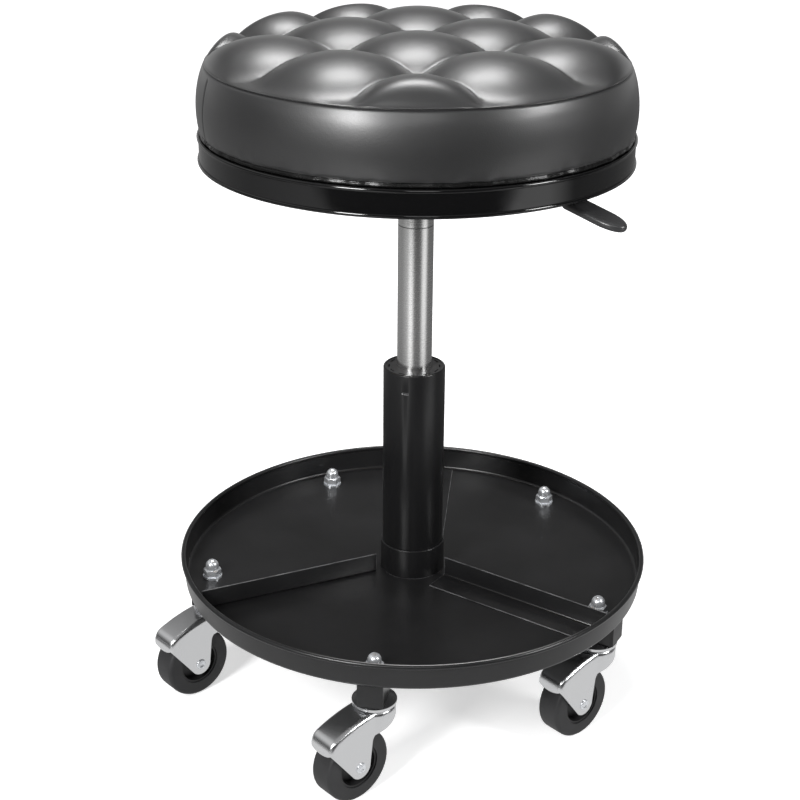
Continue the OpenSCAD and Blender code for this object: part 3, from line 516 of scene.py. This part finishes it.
def plywood():
    f = Finish("plywood", (0.5, 0.36, 0.22), 0.65)
    grain = f.noise(16, 6, 0.65, place=f.stretched((1.0, 14.0, 40.0)))
    f.colour_by(grain, [(0.25, (0.33, 0.21, 0.11)), (0.5, f.colour), (0.8, (0.64, 0.5, 0.34))])
    f.bump(grain, 0.0003)
    return f.mat


def foam():
    f = Finish("foam", (0.7, 0.63, 0.4), 0.9, specular=0.2)
    f.vary_colour(f.noise(60, 3), 0.85, 1.1)
    f.bump(f.cells(700), 0.0006)
    return f.mat


FINISHES = {finish.__name__: finish() for finish in (
    powder_coat, painted_edge_highlight, painted_rim_highlight, column_paint, ring_gloss, vinyl, vinyl_hem_shade, chrome,
    bright_zinc, turned_steel, plain_steel, tyre_rubber, moulded_plastic, grip_plastic,
    dark_rubber, nylon, plywood, foam)}

WHEELS = (1, 2, 3, 4, 5)
NODE_FINISH = {
    "powder_coat": ["tray_pan", "divider_right", "divider_rear", "divider_left",
                    "hub_sleeve", "frame_legs"],
    "column_paint": ["column_collar", "outer_tube", "tube_base", "seat_socket", "seat_plate",
                     "lever_bar"],
    "moulded_plastic": ["leg_caps", "lever_grip"] + [f"hub_{k}" for k in WHEELS],
    "grip_plastic": ["guide_bush"],
    "plain_steel": ["thrust_bearing", "caster_balls", "piston_rod", "rod_clip", "valve_pin",
                    "lever_pin", "seat_bolts", "tee_nuts"],
    "dark_rubber": ["bump_stop"],
    "bright_zinc": ["caster_studs", "cap_nuts", "nut_washers"] + [f"axle_{k}" for k in WHEELS],
    "chrome": ["caster_cups"] + [f"fork_{k}" for k in WHEELS],
    "nylon": ["piston", "rod_gland"],
    "turned_steel": ["gas_cylinder"],
    "plywood": ["seat_board"],
    "ring_gloss": ["seat_ring"],
    "foam": ["firm_foam"],
    "vinyl": ["cushion"],
    "tyre_rubber": [f"tyre_{k}" for k in WHEELS],
}

# Radius of the rounded edges of the slim pieces in view, drawn lighter as a painted highlight line
SOFT_EDGED = {"divider_right": 0.0005, "divider_rear": 0.0005, "divider_left": 0.0005,
              "column_collar": 0.0004, "outer_tube": 0.0004}


def round_edges(obj, width):
    """Live rounding of the sharp edges, in a lighter finish that paints a highlight line along
    them.
    """
    flat = obj.modifiers.new("flat", "DECIMATE")
    flat.decimate_type = "DISSOLVE"
    flat.angle_limit = math.radians(0.5)
    bevel = obj.modifiers.new("bevel", "BEVEL")
    bevel.limit_method = "ANGLE"
    bevel.angle_limit = math.radians(50)
    bevel.width = width
    bevel.segments = 2
    bevel.use_clamp_overlap = False
    # The rounded faces take the lighter finish, a painted highlight
    bevel.material = 1
    obj.data.materials.append(FINISHES["painted_edge_highlight"])


def dress_nodes():
    """Gives every carried-over solid its finish and smooth curved faces."""
    for finish, names in NODE_FINISH.items():
        for name in names:
            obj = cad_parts[name]
            obj.data.materials.clear()
            obj.data.materials.append(FINISHES[finish])
            for face in obj.data.polygons:
                face.use_smooth = True
            weld = obj.modifiers.new("weld", "WELD")
            weld.merge_threshold = WELD_REACH
            if name in SOFT_EDGED:
                round_edges(obj, SOFT_EDGED[name])
            split = obj.modifiers.new("split", "EDGE_SPLIT")
            split.split_angle = SHARP


# Cushion

def puff_faces():
    """Centre and radius of each puff's face, in staggered rows."""
    faces = []
    for row in range(-4, 4):
        for i in range(-3, 4):
            x = (2 * i + (row + 1) % 2) * PUFF_STEP
            y = (row + 0.5) * PUFF_STEP
            far = math.hypot(x, y) / SEAM_R
            if far < 1 + PUFF_OVER / SEAM_R:
                face_r = PUFF_FACE_R if far < EDGE_SHARE else EDGE_FACE_R
                top = PUFF_TOP - PUFF_FALL * far * far + PUFF_LEAN * y / SEAM_R
                faces.append((x, y, top - face_r, face_r))
    return faces


PUFFS = puff_faces()


def smooth_min(a, b, k):
    h = max(k - abs(a - b), 0.0) / k
    return min(a, b) - h * h * k / 4


def smooth_max(a, b, k):
    return -smooth_min(-a, -b, k)


def bell(d, width):
    return math.exp(-(d / width) ** 2)


def ease(t):
    t = min(max(t, 0.0), 1.0)
    return t * t * (3 - 2 * t)


def bed_height(x, y):
    """The plain cover that shows between the edge puffs and the seam."""
    return SEAM_Z + BED_RISE * (1 - (x * x + y * y) / SEAM_R ** 2)


def faces_at(x, y):
    """Height and slope of every puff's face over a point, the highest first."""
    found = []
    for cx, cy, cz, face_r in PUFFS:
        q = face_r ** 2 - (x - cx) ** 2 - (y - cy) ** 2
        if q > 0:
            rise = math.sqrt(q)
            found.append((cz + rise, (cx - x) / rise, (cy - y) / rise))
    return sorted(found, reverse=True)


def valley_distance(x, y):
    """Level distance to the nearest valley between two puffs."""
    found = faces_at(x, y)
    if len(found) < 2:
        return 1.0
    (z1, a1, b1), (z2, a2, b2) = found[:2]
    hidden = max(bed_height(x, y) - z2, 0.0)
    slope = max(math.hypot(a1 - a2, b1 - b2), LEAST_SLOPE)
    return (z1 - z2) / slope + HIDDEN_SHARE * hidden


def top_height(x, y):
    """Height of the unfilled top: the highest puff or the bed, below the shoulder."""
    past = max(math.hypot(x, y) - SHOULDER_X, 0.0)
    edge = SHOULDER_Z + math.sqrt(max(SHOULDER_R ** 2 - past ** 2, 0.0))
    bed = bed_height(x, y)
    face = max([z for z, _, _ in faces_at(x, y)[:1]] + [bed - BED_UNDER])
    return smooth_min(smooth_max(face, bed, TOP_BLEND), edge, TOP_BLEND)


def disc_point(u, v):
    """Maps a square's point to a disc of radius 1 with even cells."""
    if u == 0 and v == 0:
        return 0.0, 0.0
    if abs(u) > abs(v):
        r, a = u, (math.pi / 4) * (v / u)
    else:
        r, a = v, (math.pi / 2) - (math.pi / 4) * (u / v)
    return r * math.cos(a), r * math.sin(a)


def add_row(bm, loop, points):
    """Sews a row of new points below a closed loop and returns it."""
    row = [bm.verts.new(p) for p in points]
    for k in range(len(loop)):
        m = (k + 1) % len(loop)
        bm.faces.new((loop[k], row[k], row[m], loop[m]))
    return row


def close_core(bm, loop, ways):
    """Closes the core's roof with rings of half as many points each."""
    for share in ROOF_SHARES:
        ways = ways[::2]
        inner = [bm.verts.new((w.x * CORE_R * share, w.y * CORE_R * share, CORE_Z)) for w in ways]
        n = len(inner)
        for k in range(n):
            m = (k + 1) % n
            bm.faces.new((loop[2 * k], inner[k], inner[m], loop[2 * m], loop[2 * k + 1]))
        loop = inner
    bm.faces.new(loop)


def side_profile():
    """Radius and height of each row from the seam down to the core's roof."""
    profile = [(SEAM_R + out, SEAM_Z + up) for out, up in SEAM_GROOVE]
    shares = [BAND_TOP_SHARE * (1 - k / BAND_ROWS) for k in range(1, BAND_ROWS)]
    for t in shares + list(HEM_SHARES):
        r = BRIM_R + (SEAM_R - BRIM_R) * t
        r += (CUSHION_R - (BRIM_R + SEAM_R) / 2) * 4 * t * (1 - t)
        profile.append((r, BRIM_Z + (SEAM_Z - BRIM_Z) * t))
    return profile + [
        (FOOT_R, BRIM_Z - FOOT_TURN), (FOOT_R, (FOOT_Z + BRIM_Z) / 2), (FOOT_R, FOOT_Z),
        ((FOOT_R + CORE_R) / 2, FOOT_Z), (CORE_R, FOOT_Z), (CORE_R, (FOOT_Z + CORE_Z) / 2),
        (CORE_R, CORE_Z)]


def cushion_shape():
    """The sewn cover before it is filled: tufted top, side band, foot, hollow for the core."""
    bm = bmesh.new()
    n = GRID
    top_r = SEAM_R - TOP_BACK
    grid = []
    for i in range(n + 1):
        row = []
        for j in range(n + 1):
            x, y = disc_point(2 * i / n - 1, 2 * j / n - 1)
            x, y = x * top_r, y * top_r
            row.append(bm.verts.new((x, y, top_height(x, y))))
        grid.append(row)
    for i in range(n):
        for j in range(n):
            bm.faces.new((grid[i][j], grid[i + 1][j], grid[i + 1][j + 1], grid[i][j + 1]))
    loop = ([grid[i][0] for i in range(n)] + [grid[n][j] for j in range(n)]
            + [grid[n - i][n] for i in range(n)] + [grid[0][n - j] for j in range(n)])
    ways = [Vector((v.co.x, v.co.y)).normalized() for v in loop]
    for back in LAST_BACKS:
        r = SEAM_R - back
        loop = add_row(bm, loop, [(w.x * r, w.y * r, top_height(w.x * r, w.y * r)) for w in ways])
    for r, z in side_profile():
        loop = add_row(bm, loop, [(w.x * r, w.y * r, z) for w in ways])
    close_core(bm, loop, ways)
    bmesh.ops.recalc_face_normals(bm, faces=bm.faces)
    mesh = bpy.data.meshes.new("cushion_cover")
    bm.to_mesh(mesh)
    bm.free()
    obj = bpy.data.objects.new("cushion_cover", mesh)
    bpy.context.scene.collection.objects.link(obj)
    return obj


def held_share(co):
    """How firmly a point of the cover is sewn down, from 0 to 1."""
    r = math.hypot(co.x, co.y)
    if co.z < BRIM_Z + HELD_FOOT:
        return 1.0
    if r > SEAM_R - HELD_SEAM_R and abs(co.z - SEAM_Z) < HELD_SEAM_Z:
        return 1.0
    if co.z > SEAM_Z:
        return bell(valley_distance(co.x, co.y), HELD_VALLEY)
    return 0.0


def fill_cushion(obj):
    """Cloth under pressure, sewn down along the valleys, the seam and the foot."""
    held = obj.vertex_groups.new(name="held")
    rest = [v.co.copy() for v in obj.data.vertices]
    for k, co in enumerate(rest):
        share = held_share(co)
        if share > HELD_LEAST:
            held.add([k], share, "REPLACE")
    cloth = obj.modifiers.new("cloth", "CLOTH")
    s = cloth.settings
    s.vertex_group_mass = "held"
    s.quality = 5
    s.use_pressure = True
    s.uniform_pressure_force = FILL_PRESSURE
    s.tension_stiffness = 20
    s.compression_stiffness = 20
    s.shear_stiffness = 8
    s.bending_stiffness = 1.0
    s.effector_weights.gravity = 0
    scene = bpy.context.scene
    scene.frame_start = 1
    scene.frame_end = FILL_FRAMES
    for f in range(1, FILL_FRAMES + 1):
        scene.frame_set(f)
    apply_modifiers(obj)
    scene.frame_set(1)
    for v, start in zip(obj.data.vertices, rest):
        move = v.co - start
        if move.length > SWELL_LIMIT:
            v.co = start + move.normalized() * SWELL_LIMIT


def band_noise(angle, z, kind):
    """Noise that runs round the cushion without a step where it closes."""
    around, upwards, start = kind
    x, y = math.cos(angle) * around, math.sin(angle) * around
    return noise.noise(Vector((x, y, z * upwards + start)))


def band_shift(angle, z):
    """How far the side band stands out: waves, folds, side seam and knotted hem."""
    up = z - BRIM_Z
    ends = ease(up / BAND_FADE) * ease((SEAM_Z - BAND_TOP_GAP - z) / BAND_FADE)
    low = 1 - ease(up / FOLD_H)
    from_seam = angle - SIDE_SEAM
    pull = bell((from_seam + SEAM_PULL_TURN) * CUSHION_R, SEAM_PULL_W)
    seam = bell(from_seam * CUSHION_R, SIDE_SEAM_W) + SEAM_PULL_SHARE * low * pull
    out = WAVE_DEPTH * band_noise(angle, z, WAVE_NOISE) * ends
    out += FOLD_DEPTH * band_noise(angle, z, FOLD_NOISE) * low
    out -= SIDE_SEAM_DEPTH * seam
    knots = band_noise(angle, z, KNOT_NOISE)
    knots += FINE_KNOT_SHARE * band_noise(angle, z, FINE_KNOT_NOISE)
    out += (HEM_OUT + HEM_KNOT * knots) * bell(up - HEM_UP, HEM_W)
    out -= TUCK_DEPTH * bell(up - TUCK_UP - TUCK_KNOT * knots, TUCK_W)
    return out


def crease_cushion(obj):
    """Draws in the valleys, the side seam and the puckers above the ring."""
    for v in obj.data.vertices:
        co = v.co
        r = math.hypot(co.x, co.y)
        inside = SEAM_R - CREASE_EDGE - r
        if co.z > SEAM_Z and inside > 0:
            depth = VALLEY_DEPTH * bell(valley_distance(co.x, co.y), VALLEY_W)
            co.z -= depth * ease(inside / VALLEY_FADE)
        if BRIM_Z - CREASE_EDGE < co.z < SEAM_Z - BAND_TOP_GAP and r > FOOT_R - CREASE_EDGE:
            out = band_shift(math.atan2(co.y, co.x), co.z)
            co.x += co.x / r * out
            co.y += co.y / r * out


def make_cushion():
    obj = cushion_shape()
    fill_cushion(obj)
    sub = obj.modifiers.new("sub", "SUBSURF")
    sub.levels = 1
    sub.render_levels = 1
    apply_modifiers(obj)
    crease_cushion(obj)
    obj.data.materials.append(FINISHES["vinyl"])
    obj.data.materials.append(FINISHES["vinyl_hem_shade"])
    for face in obj.data.polygons:
        face.use_smooth = True
        # The hem's faces take the darker vinyl, painted shade above the ring
        face.material_index = 1 if face.center.z < BRIM_Z + HEM_TOP else 0
    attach(obj, "seat")
    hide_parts("cushion")


# Ring, tray, wrap below the board, axles and lever paddle

def add_tube(name, radius, low, high, steps):
    """An open tube between two heights, ready to be shaped."""
    deselect()
    bpy.ops.mesh.primitive_cylinder_add(vertices=steps, radius=radius, depth=high - low,
                                        end_fill_type="NOTHING", location=(0, 0, (low + high) / 2))
    obj = bpy.context.object
    obj.name = name
    settle(obj)
    return obj


def add_block(name, size, place=(0, 0, 0)):
    deselect()
    bpy.ops.mesh.primitive_cube_add(size=1, location=place, scale=size)
    obj = bpy.context.object
    obj.name = name
    settle(obj)
    return obj


def grab(obj, test):
    """Edit mode with only the points picked that pass the test."""
    pick(obj)
    bpy.ops.object.mode_set(mode="EDIT")
    bpy.ops.mesh.select_mode(type="VERT")
    bpy.ops.mesh.select_all(action="DESELECT")
    bpy.ops.object.mode_set(mode="OBJECT")
    for v in obj.data.vertices:
        v.select = test(v.co)
    bpy.ops.object.mode_set(mode="EDIT")


def widen(factor, rise=1.0):
    """Scales what is picked about the axis, and its height by rise."""
    bpy.ops.transform.resize(value=(factor, factor, rise), center_override=(0, 0, 0))


def add_bead(obj, radius, height, thick):
    """Rolls a round bead round the piece and joins it on."""
    deselect()
    bpy.ops.mesh.primitive_torus_add(major_segments=ROUND_STEPS, minor_segments=BEAD_SIDES,
                                     major_radius=radius, minor_radius=thick,
                                     location=(0, 0, height))
    bead = bpy.context.object
    settle(bead)
    bead.select_set(True)
    obj.select_set(True)
    bpy.context.view_layer.objects.active = obj
    bpy.ops.object.join()


def give_thickness(obj, thick):
    """Lays the sheet's thickness inside the face just shaped."""
    wall = obj.modifiers.new("sheet", "SOLIDIFY")
    wall.thickness = thick
    wall.offset = -1
    wall.use_even_offset = True
    apply_modifiers(obj)


def face_outwards(obj):
    pick(obj)
    bpy.ops.object.mode_set(mode="EDIT")
    bpy.ops.mesh.select_all(action="SELECT")
    bpy.ops.mesh.normals_make_consistent(inside=False)
    bpy.ops.object.mode_set(mode="OBJECT")
    bm = bmesh.new()
    bm.from_mesh(obj.data)
    inside_out = bm.calc_volume(signed=True) < 0
    bm.free()
    if inside_out:
        obj.data.flip_normals()


def finish_piece(obj, finish, body, angle):
    """Turns the faces outwards, smooths up to angle and gives finish and body."""
    face_outwards(obj)
    obj.data.materials.clear()
    obj.data.materials.append(FINISHES[finish])
    pick(obj)
    bpy.ops.object.shade_smooth_by_angle(angle=math.radians(angle))
    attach(obj, body)


def make_ring():
    """Rolled steel hoop with a bead along both rims and a narrow foot."""
    low, high = RING_LOW.z, RING_HIGH.z
    ring = add_tube("rolled_ring", RING_R, low, high - BEAD_R, ROUND_STEPS)
    grab(ring, lambda co: co.z < low + NEAR)
    bpy.ops.mesh.extrude_edges_move()
    widen(1 - RING_FOOT / RING_R)
    bpy.ops.object.mode_set(mode="OBJECT")
    give_thickness(ring, SHEET)
    for height in (low + BEAD_R, high - BEAD_R):
        add_bead(ring, RING_R + SHEET - BEAD_R, height, BEAD_R)
    finish_piece(ring, "ring_gloss", "seat", 40)
    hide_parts("seat_ring")


def make_tray():
    """Pressed tray with a rounded foot and a rolled rim."""
    low = TRAY_LOW.z
    wall_r = TRAY_R - HEM_R
    foot = wall_r - WALL_INSET + SHEET / 2
    tray = add_tube("pressed_tray", foot, low, RIM_Z - HEM_R, ROUND_STEPS)
    grab(tray, lambda co: co.z > low + NEAR)
    widen((wall_r + SHEET / 3) / foot)
    grab(tray, lambda co: co.z < low + NEAR)
    bpy.ops.mesh.extrude_edges_move()
    widen(TRAY_HOLE / foot)
    grab(tray, lambda co: co.z < low + NEAR and math.hypot(co.x, co.y) > foot / 2)
    bpy.ops.mesh.bevel(offset=TRAY_CORNER, segments=8, affect="EDGES")
    bpy.ops.object.mode_set(mode="OBJECT")
    give_thickness(tray, SHEET)
    add_bead(tray, wall_r, RIM_Z - HEM_R, HEM_R)
    finish_piece(tray, "powder_coat", "base", 40)
    tray.data.materials.append(FINISHES["painted_rim_highlight"])
    # The front half of the rim's crest takes the painted highlight
    for face in tray.data.polygons:
        if face.center.z > RIM_Z - HEM_R / 4 and face.center.y < -TRAY_R / 2:
            face.material_index = 1
    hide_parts("tray_pan")


def make_wrap():
    """The cover's edge, gathered and stapled under the board."""
    top = RING_LOW.z + SHEET - WRAP_GAP
    low = top - WRAP_T
    outer = RING_R - RING_FOOT - WRAP_CLEAR
    wrap = add_tube("cover_wrap", outer, low, top, ROUND_STEPS)
    grab(wrap, lambda co: co.z < low + NEAR)
    for r in ((outer + WRAP_R) / 2, WRAP_R):
        bpy.ops.mesh.extrude_edges_move()
        widen(r / outer)
        outer = r
    bpy.ops.mesh.extrude_edges_move(TRANSFORM_OT_translate={"value": (0, 0, top - low)})
    grab(wrap, lambda co: co.z > top - NEAR)
    bpy.ops.mesh.bridge_edge_loops()
    grab(wrap, lambda co: co.z < low + NEAR)
    bpy.ops.transform.vertex_random(offset=WRAP_CRUMPLE, seed=4)
    bpy.ops.object.mode_set(mode="OBJECT")
    finish_piece(wrap, "vinyl", "seat", 60)


def place_copy(obj, name, matrix):
    """A copy with its own mesh, its place already in the mesh."""
    twin = obj.copy()
    twin.data = obj.data.copy()
    twin.name = name
    bpy.context.scene.collection.objects.link(twin)
    twin.data.transform(matrix)
    return twin


def make_staples():
    """Staples round the cover's edge, each a little askew, joined into one piece."""
    staple = add_block("staple", STAPLE_SIZE)
    grab(staple, lambda co: True)
    bpy.ops.mesh.bevel(offset=STAPLE_EDGE, segments=1, affect="EDGES")
    bpy.ops.object.mode_set(mode="OBJECT")
    out = Matrix.Translation((0, -STAPLE_R, RING_LOW.z + SHEET - STAPLE_DROP))
    staples = []
    for k in range(STAPLES):
        around = Matrix.Rotation(2 * math.pi * (k + 0.5) / STAPLES, 4, "Z")
        askew = STAPLE_TILT * noise.noise(Vector((k * STAPLE_CHANCE, 0.0, 0.0)))
        tilt = Matrix.Rotation(askew, 4, "Z")
        staples.append(place_copy(staple, "staples", around @ out @ tilt))
    bpy.data.objects.remove(staple)
    deselect()
    for one in staples:
        one.select_set(True)
    bpy.context.view_layer.objects.active = staples[0]
    bpy.ops.object.join()
    finish_piece(staples[0], "plain_steel", "seat", 40)


def make_axles():
    """Riveted axles: a plain shank with a dished, rolled head on each side."""
    half = FORK_W / 2
    shank = half + AXLE_OUT
    axle = add_tube("riveted_axle", AXLE_R, -shank, shank, AXLE_STEPS)
    for side in (-1, 1):
        r, z = AXLE_R, shank
        for head_r, rise in RIVET_HEAD:
            grab(axle, lambda co: abs(co.z - side * z) < NEAR / 100
                 and abs(math.hypot(co.x, co.y) - r) < NEAR / 10)
            bpy.ops.mesh.extrude_edges_move()
            widen(head_r * MM / r, (half + rise * MM) / z)
            r, z = head_r * MM, half + rise * MM
        bpy.ops.mesh.edge_face_add()
    bpy.ops.object.mode_set(mode="OBJECT")
    axle.data.transform(Matrix.Rotation(math.pi / 2, 4, "X"))
    finish_piece(axle, "bright_zinc", "caster_1", 50)
    for k in WHEELS:
        low, high = node_box(f"axle_{k}")
        place = Matrix.Translation((low + high) / 2) @ Matrix.Rotation(TRAIL_AIM, 4, "Z")
        one = place_copy(axle, f"riveted_axle_{k}", place)
        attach(one, f"caster_{k}")
        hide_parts(f"axle_{k}")
    bpy.data.objects.remove(axle)


def bevel_uprights(obj, at, r, segments):
    """Rounds the two upright edges at one end of a block."""
    grab(obj, lambda co: False)
    bpy.ops.mesh.select_mode(type="EDGE")
    bpy.ops.object.mode_set(mode="OBJECT")
    points = obj.data.vertices
    for edge in obj.data.edges:
        a, b = (points[i].co for i in edge.vertices)
        edge.select = abs(a.x - at) < NEAR and abs(b.x - at) < NEAR and abs(a.z - b.z) > NEAR
    bpy.ops.object.mode_set(mode="EDIT")
    bpy.ops.mesh.bevel(offset=r, segments=segments, affect="EDGES")
    bpy.ops.object.mode_set(mode="OBJECT")


def make_paddle():
    """Moulded grip on the lever: square at the bar, a long oval at the free end."""
    round_r = PADDLE_W / 2
    start, turn = PADDLE_START, PADDLE_START + PADDLE_LEN - PADDLE_OVAL
    length = turn + round_r - start
    paddle = add_block("lever_paddle", (length, PADDLE_W, PADDLE_H), (start + length / 2, 0, 0))
    bevel_uprights(paddle, start, PADDLE_ROOT_R, 4)
    bevel_uprights(paddle, start + length, round_r * PADDLE_TIP_SHARE, 14)
    grab(paddle, lambda co: co.x > turn + NEAR)
    bpy.ops.transform.resize(value=(PADDLE_OVAL / round_r, 1, 1), center_override=(turn, 0, 0))
    bpy.ops.object.mode_set(mode="OBJECT")
    soft = paddle.modifiers.new("soft", "BEVEL")
    soft.limit_method = "ANGLE"
    soft.angle_limit = math.radians(60)
    soft.width = PADDLE_EDGE
    soft.segments = 6
    soft.use_clamp_overlap = False
    apply_modifiers(paddle)
    tilt = Matrix.Rotation(PADDLE_TILT, 4, "Y")
    aim = Matrix.Rotation(LEVER_AIM, 4, "Z")
    paddle.data.transform(aim @ Matrix.Translation((LEVER_OUT, 0, LEVER_Z)) @ tilt)
    finish_piece(paddle, "grip_plastic", "lever", 50)
    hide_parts("lever_grip")


# Stage

def make_camera():
    data = bpy.data.cameras.new("camera")
    data.lens = CAMERA_LENS
    data.sensor_width = SENSOR_W
    data.sensor_fit = "HORIZONTAL"
    data.clip_start = CLIP_START
    cam = bpy.data.objects.new("camera", data)
    bpy.context.scene.collection.objects.link(cam)
    pan = Matrix.Rotation(CAMERA_PAN, 4, "Z")
    tilt = Matrix.Rotation(math.pi / 2 - CAMERA_TILT, 4, "X")
    roll = Matrix.Rotation(CAMERA_ROLL, 4, "Z")
    cam.matrix_world = Matrix.Translation(CAMERA_PLACE) @ pan @ tilt @ roll
    bpy.context.scene.camera = cam


# Lamps: place, target, width and height, power
LAMPS = {
    "top_box": ((-0.05, 0.6, 1.85), (0, 0, 0.5), (0.62, 0.48), 14),
    "left_box": ((-1.0, -1.53, 1.3), (0, -0.1, 0.5), (0.45, 0.6), 36),
    "right_box": ((1.62, -0.72, 1.3), (0, -0.1, 0.5), (0.45, 0.6), 21),
    "front_box": ((0.1, -2.0, 1.6), (0, 0, 0.3), (0.6, 0.4), 4),
}


def softbox(name, place, target, size, power):
    """A flat lamp, aimed at a target."""
    data = bpy.data.lights.new(name, "AREA")
    data.shape = "RECTANGLE"
    data.size, data.size_y = size
    data.energy = power
    lamp = bpy.data.objects.new(name, data)
    bpy.context.scene.collection.objects.link(lamp)
    lamp.location = place
    look = Vector(target) - Vector(place)
    lamp.rotation_euler = look.to_track_quat("-Z", "Y").to_euler()


def make_studio():
    for name, lamp in LAMPS.items():
        softbox(name, *lamp)


# Room that the metal mirrors: for each wall a range of the view's direction and its glow there
BACK_WALL_Y = ((0.1, 0.8), (0.05, 0.6))
BACK_WALL_Z = ((0.1, 0.35), (1.0, 0.2))
CEILING_Z = ((0.45, 0.95), (0.0, 0.3))
LEFT_WALL_X = ((-0.45, -0.8), (0.0, 0.55))
LEFT_WALL_Z = ((0.2, 0.45), (0.0, 1.0))


def add_background(tree, colour, strength=None):
    node = tree.nodes.new("ShaderNodeBackground")
    node.inputs["Color"].default_value = (*colour, 1)
    if strength:
        tree.links.new(strength, node.inputs["Strength"])
    return node.outputs[0]


def mix_backgrounds(tree, share, first, second):
    node = tree.nodes.new("ShaderNodeMixShader")
    tree.links.new(share, node.inputs["Fac"])
    tree.links.new(first, node.inputs[1])
    tree.links.new(second, node.inputs[2])
    return node.outputs[0]


def make_world():
    """White behind the object; in its reflections a room with walls and a ceiling that glow."""
    world = bpy.data.worlds.new("studio")
    bpy.context.scene.world = world
    world.use_nodes = True
    t = world.node_tree
    t.nodes.clear()
    out = t.nodes.new("ShaderNodeOutputWorld")
    path = t.nodes.new("ShaderNodeLightPath").outputs
    way = split_axes(t, t.nodes.new("ShaderNodeTexCoord").outputs["Generated"])
    back_wall = add_math(t, "MULTIPLY", add_range(t, way["Y"], *BACK_WALL_Y),
                         add_range(t, way["Z"], *BACK_WALL_Z))
    ceiling = add_range(t, way["Z"], *CEILING_Z)
    left_wall = add_math(t, "MULTIPLY", add_range(t, way["X"], *LEFT_WALL_X),
                         add_range(t, way["Z"], *LEFT_WALL_Z))
    glow = add_math(t, "ADD", add_math(t, "ADD", back_wall, ceiling), left_wall)
    pale = add_background(t, (0.22, 0.22, 0.225))
    room = add_background(t, (1, 1, 1), glow)
    white = add_background(t, (1, 1, 1))
    seen = add_math(t, "MAXIMUM", path["Is Camera Ray"], path["Is Transmission Ray"])
    lit = mix_backgrounds(t, path["Is Glossy Ray"], pale, room)
    t.links.new(mix_backgrounds(t, seen, lit, white), out.inputs["Surface"])


# Floor paper: its two corners, how bright it is near the object and far off, and in the metal's
# reflections the paper close by and, farther out, cards by their angle from the front in degrees
FLOOR_LOW = (-4.0, -1.3)
FLOOR_HIGH = (4.0, 5.0)
PAPER_REACH = (0.25, 1.0)
PAPER_GLOW = (0.56, 1.0)
CLOSE_REACH = (0.36, 0.45)
CLOSE_GLOW = (0.68, 0.0)
CARD_REACH = (0.6, 0.74)
CARD_FADE_Y = (-1.3, -1.1)
CARDS = ((-90, 0.24), (-50, 0.5), (-32, 1.7), (-20, 1.7), (-6, 0.16), (34, 0.14),
         (48, 1.2), (68, 1.1), (84, 0.12))


def floor_paper():
    """White paper, bright in the metal beside it, with cards for the cylinder's stripes."""
    f = Finish("floor_paper", (0.86, 0.86, 0.86), 0.75, specular=0.1)
    t = f.tree
    path = f.node("ShaderNodeLightPath").outputs
    f.colour_by(path["Is Glossy Ray"], [(0.0, f.colour), (1.0, (0.05, 0.05, 0.05))])
    far = add_vector_math(t, "LENGTH", f.place)
    axes = split_axes(t, f.place)
    aim = add_math(t, "ARCTAN2", axes["X"], add_math(t, "MULTIPLY", axes["Y"], -1.0))
    cards = f.ramp(add_range(t, aim, (-math.pi / 2, math.pi / 2), (0.0, 1.0)),
                   [(0.5 + angle / 180, (glow / 2, glow / 2, glow / 2)) for angle, glow in CARDS])
    close = add_range(t, far, CLOSE_REACH, CLOSE_GLOW)
    fade = add_range(t, axes["Y"], CARD_FADE_Y, (0.0, 1.0))
    beyond = add_math(t, "MULTIPLY", add_range(t, far, CARD_REACH, (0.0, 2.0)), fade)
    mirrored = add_math(t, "MULTIPLY_ADD", cards, beyond, close)
    glossy = add_math(t, "MULTIPLY", mirrored, path["Is Glossy Ray"])
    white = add_range(t, far, PAPER_REACH, PAPER_GLOW)
    lift = add_math(t, "MULTIPLY_ADD", white, path["Is Camera Ray"], glossy)
    f.set("Emission Color", (1, 1, 1, 1))
    f.link(lift, f.shader.inputs["Emission Strength"])
    return f.mat


def make_floor():
    deselect()
    (x0, y0), (x1, y1) = FLOOR_LOW, FLOOR_HIGH
    bpy.ops.mesh.primitive_plane_add(size=1, location=((x0 + x1) / 2, (y0 + y1) / 2, 0))
    floor = bpy.context.object
    floor.name = "floor"
    floor.scale = (x1 - x0, y1 - y0, 1)
    settle(floor)
    floor.data.materials.append(floor_paper())


def main():
    make_camera()
    dress_nodes()
    make_cushion()
    make_ring()
    make_tray()
    make_wrap()
    make_staples()
    make_paddle()
    make_axles()
    make_world()
    make_studio()
    make_floor()
    bpy.context.scene.view_settings.view_transform = "Standard"


main()
